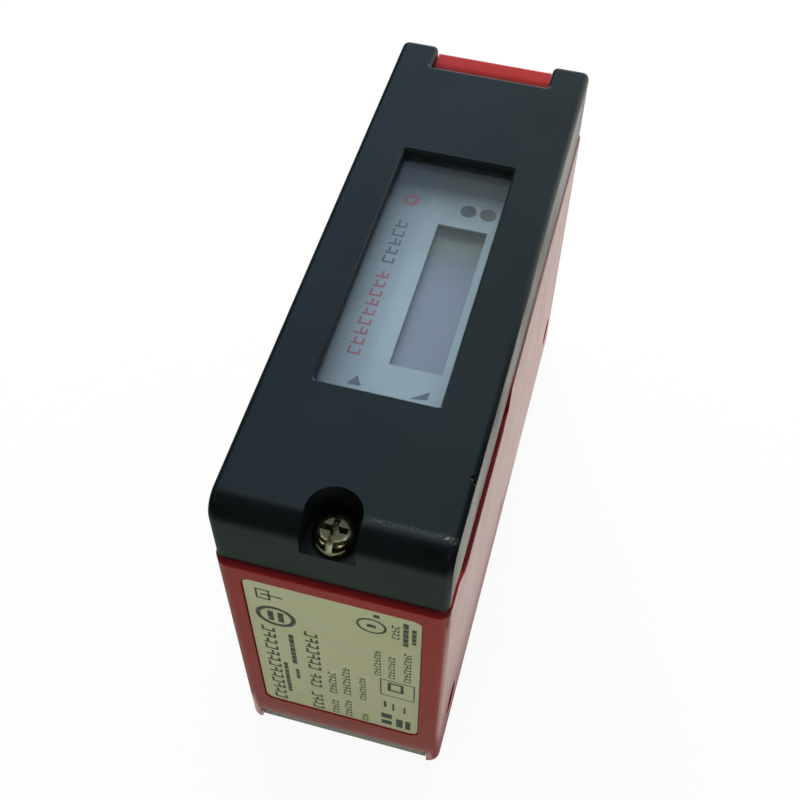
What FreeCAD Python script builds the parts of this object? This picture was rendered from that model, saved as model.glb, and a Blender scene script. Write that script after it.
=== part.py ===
import FreeCAD, Part
import math
import os
from types import SimpleNamespace

import Sketcher
from FreeCAD import Placement, Rotation, Vector

# Optical distance sensor: a die-cast block with a front glass, a hinged rear cover over the
# operator panel, and a round plug connector.  Millimetres, +Z from the front glass to the cover,
# +Y from the label end to the hinge end, origin in the middle of the front face.

# Driving dimensions, grouped by the piece that they belong to
DIMENSIONS = {
    # Outer block
    "body_width": 30.4,
    "body_length": 90.0,
    "body_depth": 64.0,
    "cover_rise": 12.0,
    "corner_radius": 1.7,
    "edge_radius": 0.5,
    # Housing walls
    "side_wall": 3.2,
    "end_wall": 3.0,
    "deck_thick": 2.2,
    "cheek_width": 1.8,
    "side_rebate_depth": 0.5,
    "side_rebate_height": 4.0,
    "side_rebate_start": 4.6,
    "side_rebate_length": 31.1,
    "side_rebate_fade": 1.0,
    # Mounting holes across the width
    "mount_spacing": 75.0,
    "mount_height": 9.0,
    "mount_hole_radius": 2.6,
    "nut_across_flats": 8.0,
    "nut_recess_depth": 4.2,
    "mount_block_height": 15.0,
    "mount_block_margin": 6.9,
    # Front glass
    "glass_recess": 0.8,
    "glass_thick": 2.6,
    "glass_side_gap": 0.15,
    "glass_end_gap": 0.3,
    "glass_edge_chamfer": 0.3,
    "seal_thick": 0.3,
    # Type label
    "label_side_margin": 1.5,
    "label_bottom": 9.2,
    "label_drop": 3.6,
    "label_corner": 1.5,
    "label_recess": 0.4,
    "label_thick": 0.2,
    "label_gap": 0.2,
    # Rear cover
    "cover_near_inset": 0.4,
    "cover_side_inset": 0.25,
    "cover_far_inset": 0.1,
    "cover_seam_gap": 0.2,
    "cover_wall": 1.8,
    "cover_near_radius": 3.4,
    "cover_far_radius": 1.2,
    "cover_side_radius": 1.1,
    # Cover window
    "window_width": 16.4,
    "window_display_gap": 7.28,
    "window_light_margin": 6.67,
    "window_corner": 0.4,
    "window_edge": 0.3,
    "window_lap": 1.3,
    "window_rebate": 0.5,
    "pane_thick": 1.2,
    "pane_gap": 0.1,
    # Cover screw
    "screw_inset": 3.5,
    "screw_radius": 1.45,
    "screw_length": 9.4,
    "screw_tip": 0.4,
    "screw_head_radius": 2.8,
    "screw_head_height": 2.1,
    "screw_head_dome": 1.3,
    "screw_slot_width": 0.8,
    "screw_slot_depth": 1.0,
    "screw_cross_length": 3.4,
    "screw_cross_depth": 1.3,
    "screw_play": 0.4,
    "screw_pocket_radius": 3.5,
    "screw_pocket_centre": 3.6,
    "screw_pocket_depth": 5.7,
    "screw_pocket_wall": 1.5,
    "screw_thread_play": 0.5,
    "screw_thread_depth": 6.0,
    "screw_boss_radius": 3.4,
    "screw_boss_height": 7.5,
    "retainer_radius": 2.2,
    "retainer_thick": 0.7,
    "retainer_lift": 0.6,
    "retainer_play": 0.05,
    "retainer_room": 0.3,
    # Hinge
    "knuckle_width": 18.2,
    "knuckle_drop": 1.5,
    "knuckle_radius": 2.4,
    "knuckle_far_radius": 0.8,
    "pin_from_end": 2.8,
    "pin_radius": 1.0,
    "pin_fit": 0.02,
    "pin_play": 0.1,
    "pin_end_wall": 1.5,
    "pin_sink": 0.3,
    "hinge_gap": 0.3,
    "hinge_side_gap": 0.15,
    "ear_lift": 0.6,
    "ear_corner": 0.8,
    "notch_corner": 0.4,
    # Operator panel
    "panel_drop": 4.0,
    "panel_near_gap": 0.6,
    "panel_far_gap": 6.5,
    "panel_side_gap": 0.95,
    "panel_plate": 1.4,
    "panel_corner": 1.5,
    "flange_reach": 1.0,
    "flange_thick": 2.0,
    "gasket_thick": 0.6,
    "skirt_gap": 0.3,
    "skirt_inset": 0.7,
    "skirt_wall": 1.2,
    "skirt_drop": 3.5,
    "hook_reach": 0.6,
    "hook_width": 5.0,
    "hook_spread": 36.0,
    "hook_gap": 0.1,
    "hook_height": 1.1,
    "foil_thick": 0.4,
    "foil_margin": 0.5,
    # Display
    "display_width": 7.17,
    "display_wall_gap": 1.49,
    "display_key_gap": 5.63,
    "display_sink": 1.0,
    "display_border": 1.1,
    "display_gap": 0.2,
    "display_frame_height": 1.6,
    "display_frame_step": 0.3,
    # Display board
    "board_gap": 0.3,
    "display_board_drop": 3.8,
    "display_board_thick": 1.2,
    "display_screw_head": 1.8,
    "display_screw_radius": 0.9,
    "display_screw_head_height": 1.2,
    "display_screw_reach": 1.6,
    "display_boss_radius": 1.6,
    "display_boss_end_gap": 3.8,
    "display_boss_wall_gap": 2.8,
    "screw_fit": 0.05,
    # Keys
    "key_length": 4.2,
    "key_wall_gap": 0.1,
    "key_boss_gap": 0.4,
    "key_end_gap": 0.5,
    "key_row_gap": 0.3,
    "key_corner": 1.0,
    "key_edge": 0.3,
    "key_proud": 0.8,
    "key_gap": 0.25,
    "key_flange": 0.6,
    "key_flange_thick": 0.55,
    "key_flange_gap": 0.05,
    "key_travel_room": 0.45,
    "key_stem_radius": 1.2,
    "dome_height": 0.6,
    "dome_radius": 2.2,
    "dome_top_radius": 1.2,
    # Status lights
    "light_radius": 1.1,
    "light_gap": 0.08,
    "light_flange": 0.3,
    "light_flange_thick": 0.6,
    "light_inset": 0.69,
    "light_pitch_gap": 0.1,
    "light_boss_gap": 11.07,
    "light_display_gap": 1.05,
    "led_length": 1.6,
    "led_width": 0.8,
    "led_height": 0.8,
    # Main board
    "main_board_drop": 8.7,
    "main_board_thick": 1.6,
    "main_board_gap": 0.6,
    "main_board_end_gap": 1.2,
    "main_board_nut_gap": 0.5,
    "post_radius": 2.6,
    "post_wall_gap": 3.2,
    "post_near_gap": 3.4,
    "post_far_gap": 5.5,
    "post_hole_depth": 6.0,
    "main_screw_radius": 1.2,
    "main_screw_head": 2.2,
    "main_screw_head_height": 1.6,
    "main_screw_reach": 5.0,
    "processor_width": 12.0,
    "processor_height": 1.4,
    "processor_row": -12.0,
    "capacitor_radius": 3.2,
    "capacitor_height": 6.0,
    "capacitor_side": 5.5,
    "capacitor_post_gap": 7.5,
    "header_width": 12.0,
    "header_thick": 2.6,
    "header_row": 18.0,
    # Optics
    "optics_gap": 1.5,
    "optics_plate_thick": 3.0,
    "optics_plate_lap": 2.6,
    "optics_plate_gap": 0.3,
    "optics_screw_radius": 0.8,
    "optics_screw_head": 1.2,
    "optics_screw_head_height": 1.0,
    "optics_screw_reach": 4.0,
    "optics_screw_wall_gap": 3.3,
    "optics_screw_inset": 1.3,
    "barrel_drop": 10.0,
    "transmitter_row": -20.0,
    "transmitter_wall": 0.9,
    "transmitter_lip": 0.6,
    "transmitter_lens_radius": 5.0,
    "transmitter_lens_sink": 1.1,
    "transmitter_lens_thick": 3.0,
    "transmitter_lens_curve": 14.0,
    "receiver_row": 12.0,
    "receiver_wall": 1.1,
    "receiver_lip": 0.7,
    "receiver_barrel_back": 7.2,
    "receiver_back_wall": 1.6,
    "receiver_lens_radius": 9.0,
    "receiver_lens_sink": 0.7,
    "receiver_lens_thick": 4.3,
    "receiver_lens_curve": 18.0,
    "lens_gap": 0.1,
    "ring_play": 0.03,
    "ring_sink": 0.2,
    "ring_clear": 0.05,
    "web_thick": 3.0,
    "web_drop": 4.0,
    "diode_can_radius": 2.3,
    "diode_flange_radius": 2.8,
    "diode_flange_thick": 1.5,
    "diode_can_height": 1.4,
    "diode_lead_radius": 0.25,
    "diode_lead_circle": 1.27,
    "diode_fit": 0.1,
    "sensor_width": 8.0,
    "sensor_length": 13.0,
    "sensor_height": 2.0,
    "sensor_slot_width": 4.0,
    "sensor_slot_length": 10.0,
    "barrel_cap": 2.0,
    "receiver_board_width": 14.0,
    "receiver_board_length": 18.0,
    "receiver_board_thick": 1.4,
    "receiver_header_width": 10.0,
    # Plug connector
    "plug_height": 27.0,
    "plug_thread_radius": 6.0,
    "plug_reach": 12.5,
    "plug_wall": 1.35,
    "plug_neck_step": 0.2,
    "plug_hole_play": 0.1,
    "plug_flange_step": 2.6,
    "plug_flange_thick": 2.5,
    "plug_thread_depth": 0.6,
    "plug_relief_length": 1.0,
    "plug_end_chamfer": 0.5,
    "plug_inner_length": 5.5,
    "plug_seal_thick": 1.0,
    "plug_seal_lip": 0.2,
    "plug_nut_flats": 16.0,
    "plug_nut_thick": 3.0,
    "insert_play": 0.05,
    "insert_floor": 5.0,
    "insert_key_width": 1.2,
    "insert_key_height": 0.7,
    "insert_key_length": 6.0,
    "contact_radius": 0.5,
    "contact_circle": 3.0,
    "contact_length": 7.0,
    "contact_tail": 0.5,
    "contact_tip": 0.3,
    "contact_fit": 0.02,
    "plug_board_gap": 0.9,
    "plug_board_thick": 1.6,
    "plug_board_drop": 8.0,
}

# Every cut starts or ends this far outside the face that it opens
CUT_PAST = 1.0

document = FreeCAD.newDocument("distance_sensor")
sheet = document.addObject("Spreadsheet::Sheet", "Sizes")
for row, (alias, number) in enumerate(DIMENSIONS.items(), 1):
    sheet.set(f"A{row}", alias)
    sheet.set(f"B{row}", str(number))
    sheet.setAlias(f"B{row}", alias)
document.recompute()


class Size:
    """A length in millimetres and the sheet formula that drives it."""

    def __init__(self, value, formula):
        self.value = value
        self.formula = formula

    def __add__(self, other):
        other = as_size(other)
        return Size(self.value + other.value, f"({self.formula} + {other.formula})")

    def __sub__(self, other):
        other = as_size(other)
        return Size(self.value - other.value, f"({self.formula} - {other.formula})")

    def __mul__(self, factor):
        factor = as_size(factor)
        return Size(self.value * factor.value, f"({self.formula} * {factor.formula})")

    def __truediv__(self, divisor):
        divisor = as_size(divisor)
        return Size(self.value / divisor.value, f"({self.formula} / {divisor.formula})")

    def __neg__(self):
        return Size(-self.value, f"(0 - {self.formula})")

    def root(self):
        """The square root, for the sag of a lens face."""
        return Size(math.sqrt(self.value), f"sqrt({self.formula})")


def as_size(number):
    """A plain number as a fixed Size, and a Size as it is."""
    if isinstance(number, Size):
        return number
    return Size(float(number), repr(number))


ZERO = Size(0.0, "0")

sizes = SimpleNamespace(**{name: Size(float(sheet.get(name)), f"Sizes.{name}") for name in DIMENSIONS})

# Shared places, worked out from the driving dimensions
half_width = sizes.body_width / 2
half_length = sizes.body_length / 2
top = sizes.body_depth
seam = top - sizes.cover_rise
deck_bottom = seam - sizes.deck_thick
cavity_side = half_width - sizes.side_wall
cavity_end = half_length - sizes.end_wall
mount_row = sizes.mount_spacing / 2
block_face = mount_row - sizes.mount_block_margin

glass_bottom = sizes.glass_recess
glass_top = glass_bottom + sizes.glass_thick
glass_seat = glass_top + sizes.seal_thick
slot_side = half_width - sizes.cheek_width
label_side = half_width - sizes.corner_radius - sizes.label_side_margin
label_top = seam - sizes.label_drop

optics_front = glass_seat + sizes.optics_gap
optics_seat = optics_front + sizes.optics_plate_thick
optics_pocket_end = block_face + sizes.optics_plate_lap
optics_screw_row = block_face + sizes.optics_screw_inset

cover_side = half_width - sizes.cover_side_inset
cover_near = sizes.cover_near_inset - half_length
cover_far = half_length - sizes.cover_far_inset
cover_bottom = seam + sizes.cover_seam_gap
cover_ceiling = top - sizes.cover_wall
cover_inner_side = cover_side - sizes.cover_wall

pin_row = half_length - sizes.pin_from_end
knuckle_top = top - sizes.knuckle_drop
pin_height = knuckle_top - sizes.knuckle_radius
knuckle_side = sizes.knuckle_width / 2
knuckle_near = pin_row - sizes.knuckle_radius
notch_near = knuckle_near - sizes.hinge_gap
notch_side = knuckle_side + sizes.hinge_side_gap
cover_inner_far = notch_near - sizes.cover_wall

screw_row = sizes.screw_inset - half_length
pocket_floor = top - sizes.screw_pocket_depth
pocket_row = sizes.screw_pocket_centre - half_length
pocket_block_side = sizes.screw_pocket_radius + sizes.screw_pocket_wall
pocket_block_far = pocket_row + sizes.screw_pocket_radius + sizes.screw_pocket_wall
screw_hole_radius = sizes.screw_radius + sizes.screw_play

foil_top = top - sizes.panel_drop
plate_top = foil_top - sizes.foil_thick
plate_bottom = plate_top - sizes.panel_plate
panel_side = cover_inner_side - sizes.panel_side_gap - sizes.flange_reach
panel_near = pocket_block_far + sizes.panel_near_gap + sizes.flange_reach
panel_far = cover_inner_far - sizes.panel_far_gap - sizes.flange_reach
flange_bottom = seam + sizes.gasket_thick
flange_side = panel_side + sizes.flange_reach
flange_near = panel_near - sizes.flange_reach
flange_far = panel_far + sizes.flange_reach
skirt_side = panel_side - sizes.skirt_inset
skirt_near = panel_near + sizes.skirt_inset
skirt_far = panel_far - sizes.skirt_inset
opening_side = skirt_side + sizes.skirt_gap
opening_near = skirt_near - sizes.skirt_gap
opening_far = skirt_far + sizes.skirt_gap
skirt_bottom = seam - sizes.skirt_drop
well_side = skirt_side - sizes.skirt_wall
well_near = skirt_near + sizes.skirt_wall
well_far = skirt_far - sizes.skirt_wall

display_board_top = foil_top - sizes.display_board_drop
display_board_bottom = display_board_top - sizes.display_board_thick
display_top = foil_top - sizes.display_sink
display_boss_side = well_side - sizes.display_boss_wall_gap
display_boss_row = well_far - sizes.display_boss_end_gap

key_outer = well_side - sizes.key_wall_gap - sizes.key_flange
key_inner = sizes.display_boss_radius + sizes.key_boss_gap + sizes.key_flange
key_width = key_outer - key_inner
key_side = (key_outer + key_inner) / 2
key_last_row = well_near + sizes.key_end_gap + sizes.key_flange + sizes.key_length / 2
key_first_row = key_last_row + sizes.key_length + sizes.key_flange * 2 + sizes.key_row_gap
KEY_PLACES = {
    "key_up": (-key_side, key_first_row),
    "key_down": (key_side, key_first_row),
    "key_escape": (-key_side, key_last_row),
    "key_enter": (key_side, key_last_row),
}
display_screws = (
    (ZERO, (key_first_row + key_last_row) / 2),
    (-display_boss_side, display_boss_row),
    (display_boss_side, display_boss_row),
)

light_reach = sizes.light_radius + sizes.light_flange
light_row = display_boss_row - sizes.light_boss_gap
display_right = well_side - sizes.display_wall_gap - sizes.display_border
display_left = display_right - sizes.display_width
display_near = key_first_row + sizes.key_length / 2 + sizes.display_key_gap
display_far = light_row - light_reach - sizes.light_display_gap - sizes.display_border
yellow_light_side = display_right - sizes.light_inset
green_light_side = yellow_light_side - light_reach * 2 - sizes.light_pitch_gap
LIGHT_PLACES = {
    "green_light_guide": (green_light_side, light_row),
    "yellow_light_guide": (yellow_light_side, light_row),
}
window_near = display_near - sizes.window_display_gap
window_far = light_row + sizes.window_light_margin

main_board_top = deck_bottom - sizes.main_board_drop
main_board_bottom = main_board_top - sizes.main_board_thick
post_side = cavity_side - sizes.post_wall_gap
post_near = sizes.post_near_gap - cavity_end
post_far = cavity_end - sizes.post_far_gap
post_places = [(side, along) for side in (-post_side, post_side) for along in (post_near, post_far)]

optics_screw_side = cavity_side - sizes.optics_screw_wall_gap
optics_screw_places = [
    (side, along)
    for side in (-optics_screw_side, optics_screw_side)
    for along in (-optics_screw_row, optics_screw_row)
]
barrel_top = main_board_bottom - sizes.barrel_drop
sensor_top = barrel_top + sizes.sensor_height
receiver_board_top = sensor_top + sizes.receiver_board_thick

transmitter_front = optics_front + sizes.transmitter_lens_sink
transmitter_bore = sizes.transmitter_lens_radius - sizes.transmitter_lip
receiver_front = optics_front + sizes.receiver_lens_sink
receiver_bore = sizes.receiver_lens_radius - sizes.receiver_lip

plug_bore_radius = sizes.plug_thread_radius - sizes.plug_wall
plug_neck_radius = sizes.plug_thread_radius + sizes.plug_neck_step
plug_flange_radius = plug_neck_radius + sizes.plug_flange_step
plug_relief_radius = sizes.plug_thread_radius - sizes.plug_thread_depth
plug_flange_near = half_length + sizes.plug_seal_thick
plug_flange_far = plug_flange_near + sizes.plug_flange_thick
plug_tip = half_length + sizes.plug_seal_thick + sizes.plug_reach
plug_tail = cavity_end - sizes.plug_inner_length
insert_radius = plug_bore_radius - sizes.insert_play
insert_face = half_length + sizes.insert_floor
contact_tail = plug_tail - sizes.contact_tail

subparts = {}


# Sketch and feature helpers


def new_body(label):
    """An empty body that becomes the node of that label."""
    body = document.addObject("PartDesign::Body", label)
    body.Label = label
    subparts[label] = body
    return body


def sketch_on(body, plane, offset=ZERO):
    """A sketch on one of the body's origin planes, moved along the plane's normal."""
    sketch = body.newObject("Sketcher::SketchObject", f"{body.Name}_sketch")
    origin_plane = next(item for item in body.Origin.OriginFeatures if item.Role == plane)
    sketch.AttachmentSupport = [(origin_plane, "")]
    sketch.MapMode = "FlatFace"
    sketch.AttachmentOffset = Placement(Vector(0, 0, offset.value), Rotation())
    sketch.setExpression("AttachmentOffset.Base.z", offset.formula)
    return sketch


def fix_point(sketch, geometry, point, across, along):
    """Ties a point of the sketch to its two driven coordinates."""
    for kind, size, axis in (("DistanceX", across, -2), ("DistanceY", along, -1)):
        if size.formula == "0":
            sketch.addConstraint(Sketcher.Constraint("PointOnObject", geometry, point, axis))
            continue
        index = sketch.addConstraint(Sketcher.Constraint(kind, -1, 1, geometry, point, size.value))
        sketch.setExpression(f"Constraints[{index}]", size.formula)


def draw_outline(sketch, corners):
    """A closed outline of straight lines through the driven corners."""
    corners = [(as_size(across), as_size(along)) for across, along in corners]
    points = [Vector(across.value, along.value, 0) for across, along in corners]
    ends = points[1:] + points[:1]
    lines = [sketch.addGeometry(Part.LineSegment(start, end)) for start, end in zip(points, ends)]
    for line, following in zip(lines, lines[1:] + lines[:1]):
        sketch.addConstraint(Sketcher.Constraint("Coincident", line, 2, following, 1))
    for line, (across, along) in zip(lines, corners):
        fix_point(sketch, line, 1, across, along)


def draw_rectangle(sketch, left, right, near, far):
    """A rectangle between two driven limits each way."""
    draw_outline(sketch, ((left, near), (right, near), (right, far), (left, far)))


def draw_circle(sketch, across, along, radius):
    """A circle with a driven centre and radius."""
    centre = Vector(across.value, along.value, 0)
    circle = sketch.addGeometry(Part.Circle(centre, Vector(0, 0, 1), radius.value))
    index = sketch.addConstraint(Sketcher.Constraint("Radius", circle, radius.value))
    sketch.setExpression(f"Constraints[{index}]", radius.formula)
    fix_point(sketch, circle, 3, across, along)


def draw_hexagon(sketch, across, along, flats, points_along):
    """A hexagon of driven size across its flats, with two corners on one sketch axis."""
    half = flats / 2
    corner = flats / math.sqrt(3)
    offsets = ((ZERO, corner), (half, corner / 2), (half, -corner / 2))
    offsets += tuple((-first, -second) for first, second in offsets)
    if not points_along:
        offsets = tuple((second, first) for first, second in offsets)
    draw_outline(sketch, [(across + first, along + second) for first, second in offsets])


def extrude(kind, body, sketch, length, reverse=False):
    """A pad or pocket of driven length, and the change of volume that it must bring."""
    document.recompute()
    before = body.Shape.Volume if body.Tip else 0.0
    feature = body.newObject(f"PartDesign::{kind}", f"{body.Name}_{kind.lower()}")
    feature.Profile = sketch
    feature.Reversed = reverse
    feature.setExpression("Length", length.formula)
    document.recompute()
    change = body.Shape.Volume - before
    if (change <= 0) if kind == "Pad" else (change >= 0):
        raise RuntimeError(f"{feature.Name} changes nothing")
    return feature


def pad(body, sketch, length, reverse=False):
    """Adds the sketch, carried along its normal."""
    return extrude("Pad", body, sketch, length, reverse)


def pocket(body, sketch, length, reverse=False):
    """Cuts the sketch, carried against its normal unless it is reversed."""
    return extrude("Pocket", body, sketch, length, reverse)


def turn(kind, body, sketch):
    """A full turn of the sketch about its own vertical axis."""
    feature = body.newObject(f"PartDesign::{kind}", f"{body.Name}_{kind.lower()}")
    feature.Profile = sketch
    feature.ReferenceAxis = (sketch, ["V_Axis"])
    feature.Angle = 360
    document.recompute()
    return feature


def round_edges(body, radius, chosen, kind="Fillet"):
    """Rounds or chamfers the edges of the body that the test picks."""
    base = body.Tip
    names = [f"Edge{index}" for index, edge in enumerate(base.Shape.Edges, 1) if chosen(edge)]
    if not names:
        raise RuntimeError(f"{body.Name} has no edge to round")
    feature = body.newObject(f"PartDesign::{kind}", f"{body.Name}_{kind.lower()}")
    feature.Base = (base, names)
    feature.setExpression("Radius" if kind == "Fillet" else "Size", radius.formula)
    document.recompute()
    return feature


def at(number, size):
    """True where a coordinate lies on a driven place."""
    return abs(number - size.value) < 1e-4


def lies_at(edge, height):
    """True for an edge whose ends lie at one driven height."""
    return all(at(vertex.Point.z, height) for vertex in edge.Vertexes)


def runs_along(edge, direction):
    """True for a straight edge parallel to the direction."""
    if len(edge.Vertexes) != 2:
        return False
    chord = edge.Vertexes[1].Point - edge.Vertexes[0].Point
    return abs(chord.Length - edge.Length) < 1e-6 and chord.cross(direction).Length < 1e-6


def corner_edges(direction, places):
    """A test for straight edges along a direction that pass through one of the driven places."""
    keep = [index for index in range(3) if abs(direction[index]) < 0.5]

    def chosen(edge):
        if not runs_along(edge, direction):
            return False
        start = edge.Vertexes[0].Point
        return any(
            all(at(start[index], size) for index, size in zip(keep, place)) for place in places
        )

    return chosen


ALONG_X = Vector(1, 0, 0)
ALONG_Y = Vector(0, 1, 0)
ALONG_Z = Vector(0, 0, 1)


def corners_of(left, right, near, far):
    """The four corners of a rectangle."""
    return [(across, along) for across in (left, right) for along in (near, far)]


def place(feature, across, along, up):
    """Puts a primitive at its driven place."""
    for axis, size in zip("xyz", (across, along, up)):
        feature.setExpression(f"Placement.Base.{axis}", size.formula)


def box(label, left, right, near, far, bottom, ceiling):
    """A block between driven limits."""
    feature = document.addObject("Part::Box", label)
    feature.Label = label
    feature.setExpression("Length", (right - left).formula)
    feature.setExpression("Width", (far - near).formula)
    feature.setExpression("Height", (ceiling - bottom).formula)
    place(feature, left, near, bottom)
    return feature


def rod(label, radius, across, along, bottom, ceiling):
    """An upright cylinder between two driven heights."""
    feature = document.addObject("Part::Cylinder", label)
    feature.Label = label
    feature.setExpression("Radius", radius.formula)
    feature.setExpression("Height", (ceiling - bottom).formula)
    place(feature, across, along, bottom)
    return feature


def combine(kind, label, pieces):
    """A boolean or compound of several pieces under one label."""
    feature = document.addObject(f"Part::{kind}", label)
    feature.Label = label
    setattr(feature, "Links" if kind == "Compound" else "Shapes", pieces)
    return feature


def cut(label, base, tool):
    """The base less the tool."""
    feature = document.addObject("Part::Cut", label)
    feature.Label = label
    feature.Base = base
    feature.Tool = tool
    return feature


def node(label, feature):
    """Names a feature as a node of the sensor."""
    feature.Label = label
    subparts[label] = feature


# Housing


def make_housing():
    """The die-cast block: glass slot, stepped cavity, deck, posts, mounting holes and hinge knuckle."""
    body = new_body("housing")
    sketch = sketch_on(body, "XY_Plane")
    draw_rectangle(sketch, -half_width, half_width, -half_length, half_length)
    pad(body, sketch, seam)
    round_edges(
        body,
        sizes.corner_radius,
        corner_edges(ALONG_Z, corners_of(-half_width, half_width, -half_length, half_length)),
    )
    round_edges(body, sizes.edge_radius, lambda edge: lies_at(edge, ZERO) or lies_at(edge, seam))
    cut_housing_inside(body)
    add_housing_posts(body)
    add_hinge_knuckle(body)
    cut_housing_outside(body)


def cut_housing_inside(body):
    """Glass slot, optics pocket, main cavity, upper cavity and panel opening, front to back."""
    past_end = half_length + CUT_PAST
    hollows = (
        (slot_side, past_end, ZERO, glass_seat),
        (cavity_side, optics_pocket_end, ZERO, optics_seat),
        (cavity_side, block_face, ZERO, deck_bottom),
        (cavity_side, cavity_end, sizes.mount_block_height, deck_bottom),
    )
    for side, end, bottom, ceiling in hollows:
        sketch = sketch_on(body, "XY_Plane", bottom)
        draw_rectangle(sketch, -side, side, -end, end)
        pocket(body, sketch, ceiling - bottom, reverse=True)
    sketch = sketch_on(body, "XY_Plane", seam)
    draw_rectangle(sketch, -opening_side, opening_side, opening_near, opening_far)
    pocket(body, sketch, sizes.deck_thick + CUT_PAST)


def add_housing_posts(body):
    """Board posts under the deck, the cover screw's boss, and the blind holes in both."""
    sketch = sketch_on(body, "XY_Plane", main_board_top)
    for across, along in post_places:
        draw_circle(sketch, across, along, sizes.post_radius)
    pad(body, sketch, deck_bottom - main_board_top + sizes.deck_thick / 2)
    sketch = sketch_on(body, "XY_Plane", main_board_top)
    for across, along in post_places:
        draw_circle(sketch, across, along, sizes.main_screw_radius + sizes.screw_fit)
    pocket(body, sketch, sizes.post_hole_depth, reverse=True)
    sketch = sketch_on(body, "XY_Plane", seam - sizes.screw_boss_height)
    draw_circle(sketch, ZERO, screw_row, sizes.screw_boss_radius)
    pad(body, sketch, sizes.screw_boss_height - sizes.deck_thick / 2)
    sketch = sketch_on(body, "XY_Plane", seam)
    draw_circle(sketch, ZERO, screw_row, sizes.screw_radius + sizes.screw_thread_play)
    pocket(body, sketch, sizes.screw_thread_depth)
    sketch = sketch_on(body, "XY_Plane", optics_seat)
    for across, along in optics_screw_places:
        draw_circle(sketch, across, along, sizes.optics_screw_radius + sizes.screw_fit)
    pocket(body, sketch, sizes.optics_screw_reach + sizes.screw_fit, reverse=True)


def add_hinge_knuckle(body):
    """The cast knuckle that stands between the cover's ears, with its pin bore."""
    sketch = sketch_on(body, "YZ_Plane", -knuckle_side)
    draw_rectangle(sketch, knuckle_near, half_length, deck_bottom + sizes.deck_thick / 2, knuckle_top)
    pad(body, sketch, sizes.knuckle_width)
    round_edges(body, sizes.knuckle_radius, corner_edges(ALONG_X, [(knuckle_near, knuckle_top)]))
    round_edges(body, sizes.knuckle_far_radius, corner_edges(ALONG_X, [(half_length, knuckle_top)]))
    sketch = sketch_on(body, "YZ_Plane", -knuckle_side - CUT_PAST)
    draw_circle(sketch, pin_row, pin_height, sizes.pin_radius + sizes.pin_fit)
    pocket(body, sketch, sizes.knuckle_width + CUT_PAST * 2, reverse=True)


def cut_housing_outside(body):
    """Mounting holes, nut recesses, plug hole, label recess and the stopped rebates of the sides."""
    sketch = sketch_on(body, "YZ_Plane", -half_width - CUT_PAST)
    for along in (-mount_row, mount_row):
        draw_circle(sketch, along, sizes.mount_height, sizes.mount_hole_radius)
    pocket(body, sketch, sizes.body_width + CUT_PAST * 2, reverse=True)
    sketch = sketch_on(body, "YZ_Plane", -half_width - CUT_PAST)
    for along in (-mount_row, mount_row):
        draw_hexagon(sketch, along, sizes.mount_height, sizes.nut_across_flats, points_along=True)
    pocket(body, sketch, sizes.nut_recess_depth + CUT_PAST, reverse=True)
    sketch = sketch_on(body, "XZ_Plane", -half_length - CUT_PAST)
    draw_circle(sketch, ZERO, sizes.plug_height, plug_neck_radius + sizes.plug_hole_play)
    pocket(body, sketch, sizes.end_wall + CUT_PAST * 2, reverse=True)
    sketch = sketch_on(body, "XZ_Plane", half_length)
    draw_rectangle(sketch, -label_side, label_side, sizes.label_bottom, label_top)
    pocket(body, sketch, sizes.label_recess)
    places = corners_of(-label_side, label_side, sizes.label_bottom, label_top)
    round_edges(body, sizes.label_corner, corner_edges(ALONG_Y, places))
    start = sizes.side_rebate_start - half_length
    finish = start + sizes.side_rebate_length
    shoulder = seam - sizes.side_rebate_height
    for side, reverse in ((half_width, False), (-half_width, True)):
        sketch = sketch_on(body, "YZ_Plane", side)
        outline = (
            (start, seam + CUT_PAST),
            (start, seam),
            (start + sizes.side_rebate_height, shoulder),
            (finish - sizes.side_rebate_fade, shoulder),
            (finish, seam),
            (finish, seam + CUT_PAST),
        )
        draw_outline(sketch, outline)
        pocket(body, sketch, sizes.side_rebate_depth, reverse)


# Rear cover


def make_rear_cover():
    """The hinged cover: rounded shell, window, screw pocket, and two ears round the knuckle."""
    body = new_body("rear_cover")
    sketch = sketch_on(body, "YZ_Plane", -cover_side)
    draw_rectangle(sketch, cover_near, cover_far, cover_bottom, top)
    pad(body, sketch, cover_side * 2)
    round_edges(body, sizes.cover_near_radius, corner_edges(ALONG_X, [(cover_near, top)]))
    round_edges(body, sizes.cover_far_radius, corner_edges(ALONG_X, [(cover_far, top)]))
    round_edges(body, sizes.cover_side_radius, on_cover_side)
    sketch = sketch_on(body, "XY_Plane", cover_bottom)
    inner_near = cover_near + sizes.cover_wall
    draw_rectangle(sketch, -cover_inner_side, cover_inner_side, inner_near, cover_inner_far)
    pocket(body, sketch, cover_ceiling - cover_bottom, reverse=True)
    cut_cover_window(body)
    cut_screw_pocket(body)
    cut_cover_ears(body)


def on_cover_side(edge):
    """True for the edges round a side face of the cover, apart from its bottom edge."""
    points = [vertex.Point for vertex in edge.Vertexes]
    on_side = all(at(abs(point.x), cover_side) for point in points)
    return on_side and not lies_at(edge, cover_bottom)


def cut_cover_window(body):
    """The window opening, and the rebate that takes the pane from inside."""
    side = sizes.window_width / 2
    sketch = sketch_on(body, "XY_Plane", top)
    draw_rectangle(sketch, -side, side, window_near, window_far)
    pocket(body, sketch, sizes.cover_wall + CUT_PAST)
    places = corners_of(-side, side, window_near, window_far)
    round_edges(body, sizes.window_corner, corner_edges(ALONG_Z, places))
    round_edges(body, sizes.window_edge, on_window_edge, kind="Chamfer")
    lap = sizes.window_lap
    sketch = sketch_on(body, "XY_Plane", cover_ceiling)
    draw_rectangle(sketch, -side - lap, side + lap, window_near - lap, window_far + lap)
    pocket(body, sketch, sizes.window_rebate, reverse=True)


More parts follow.
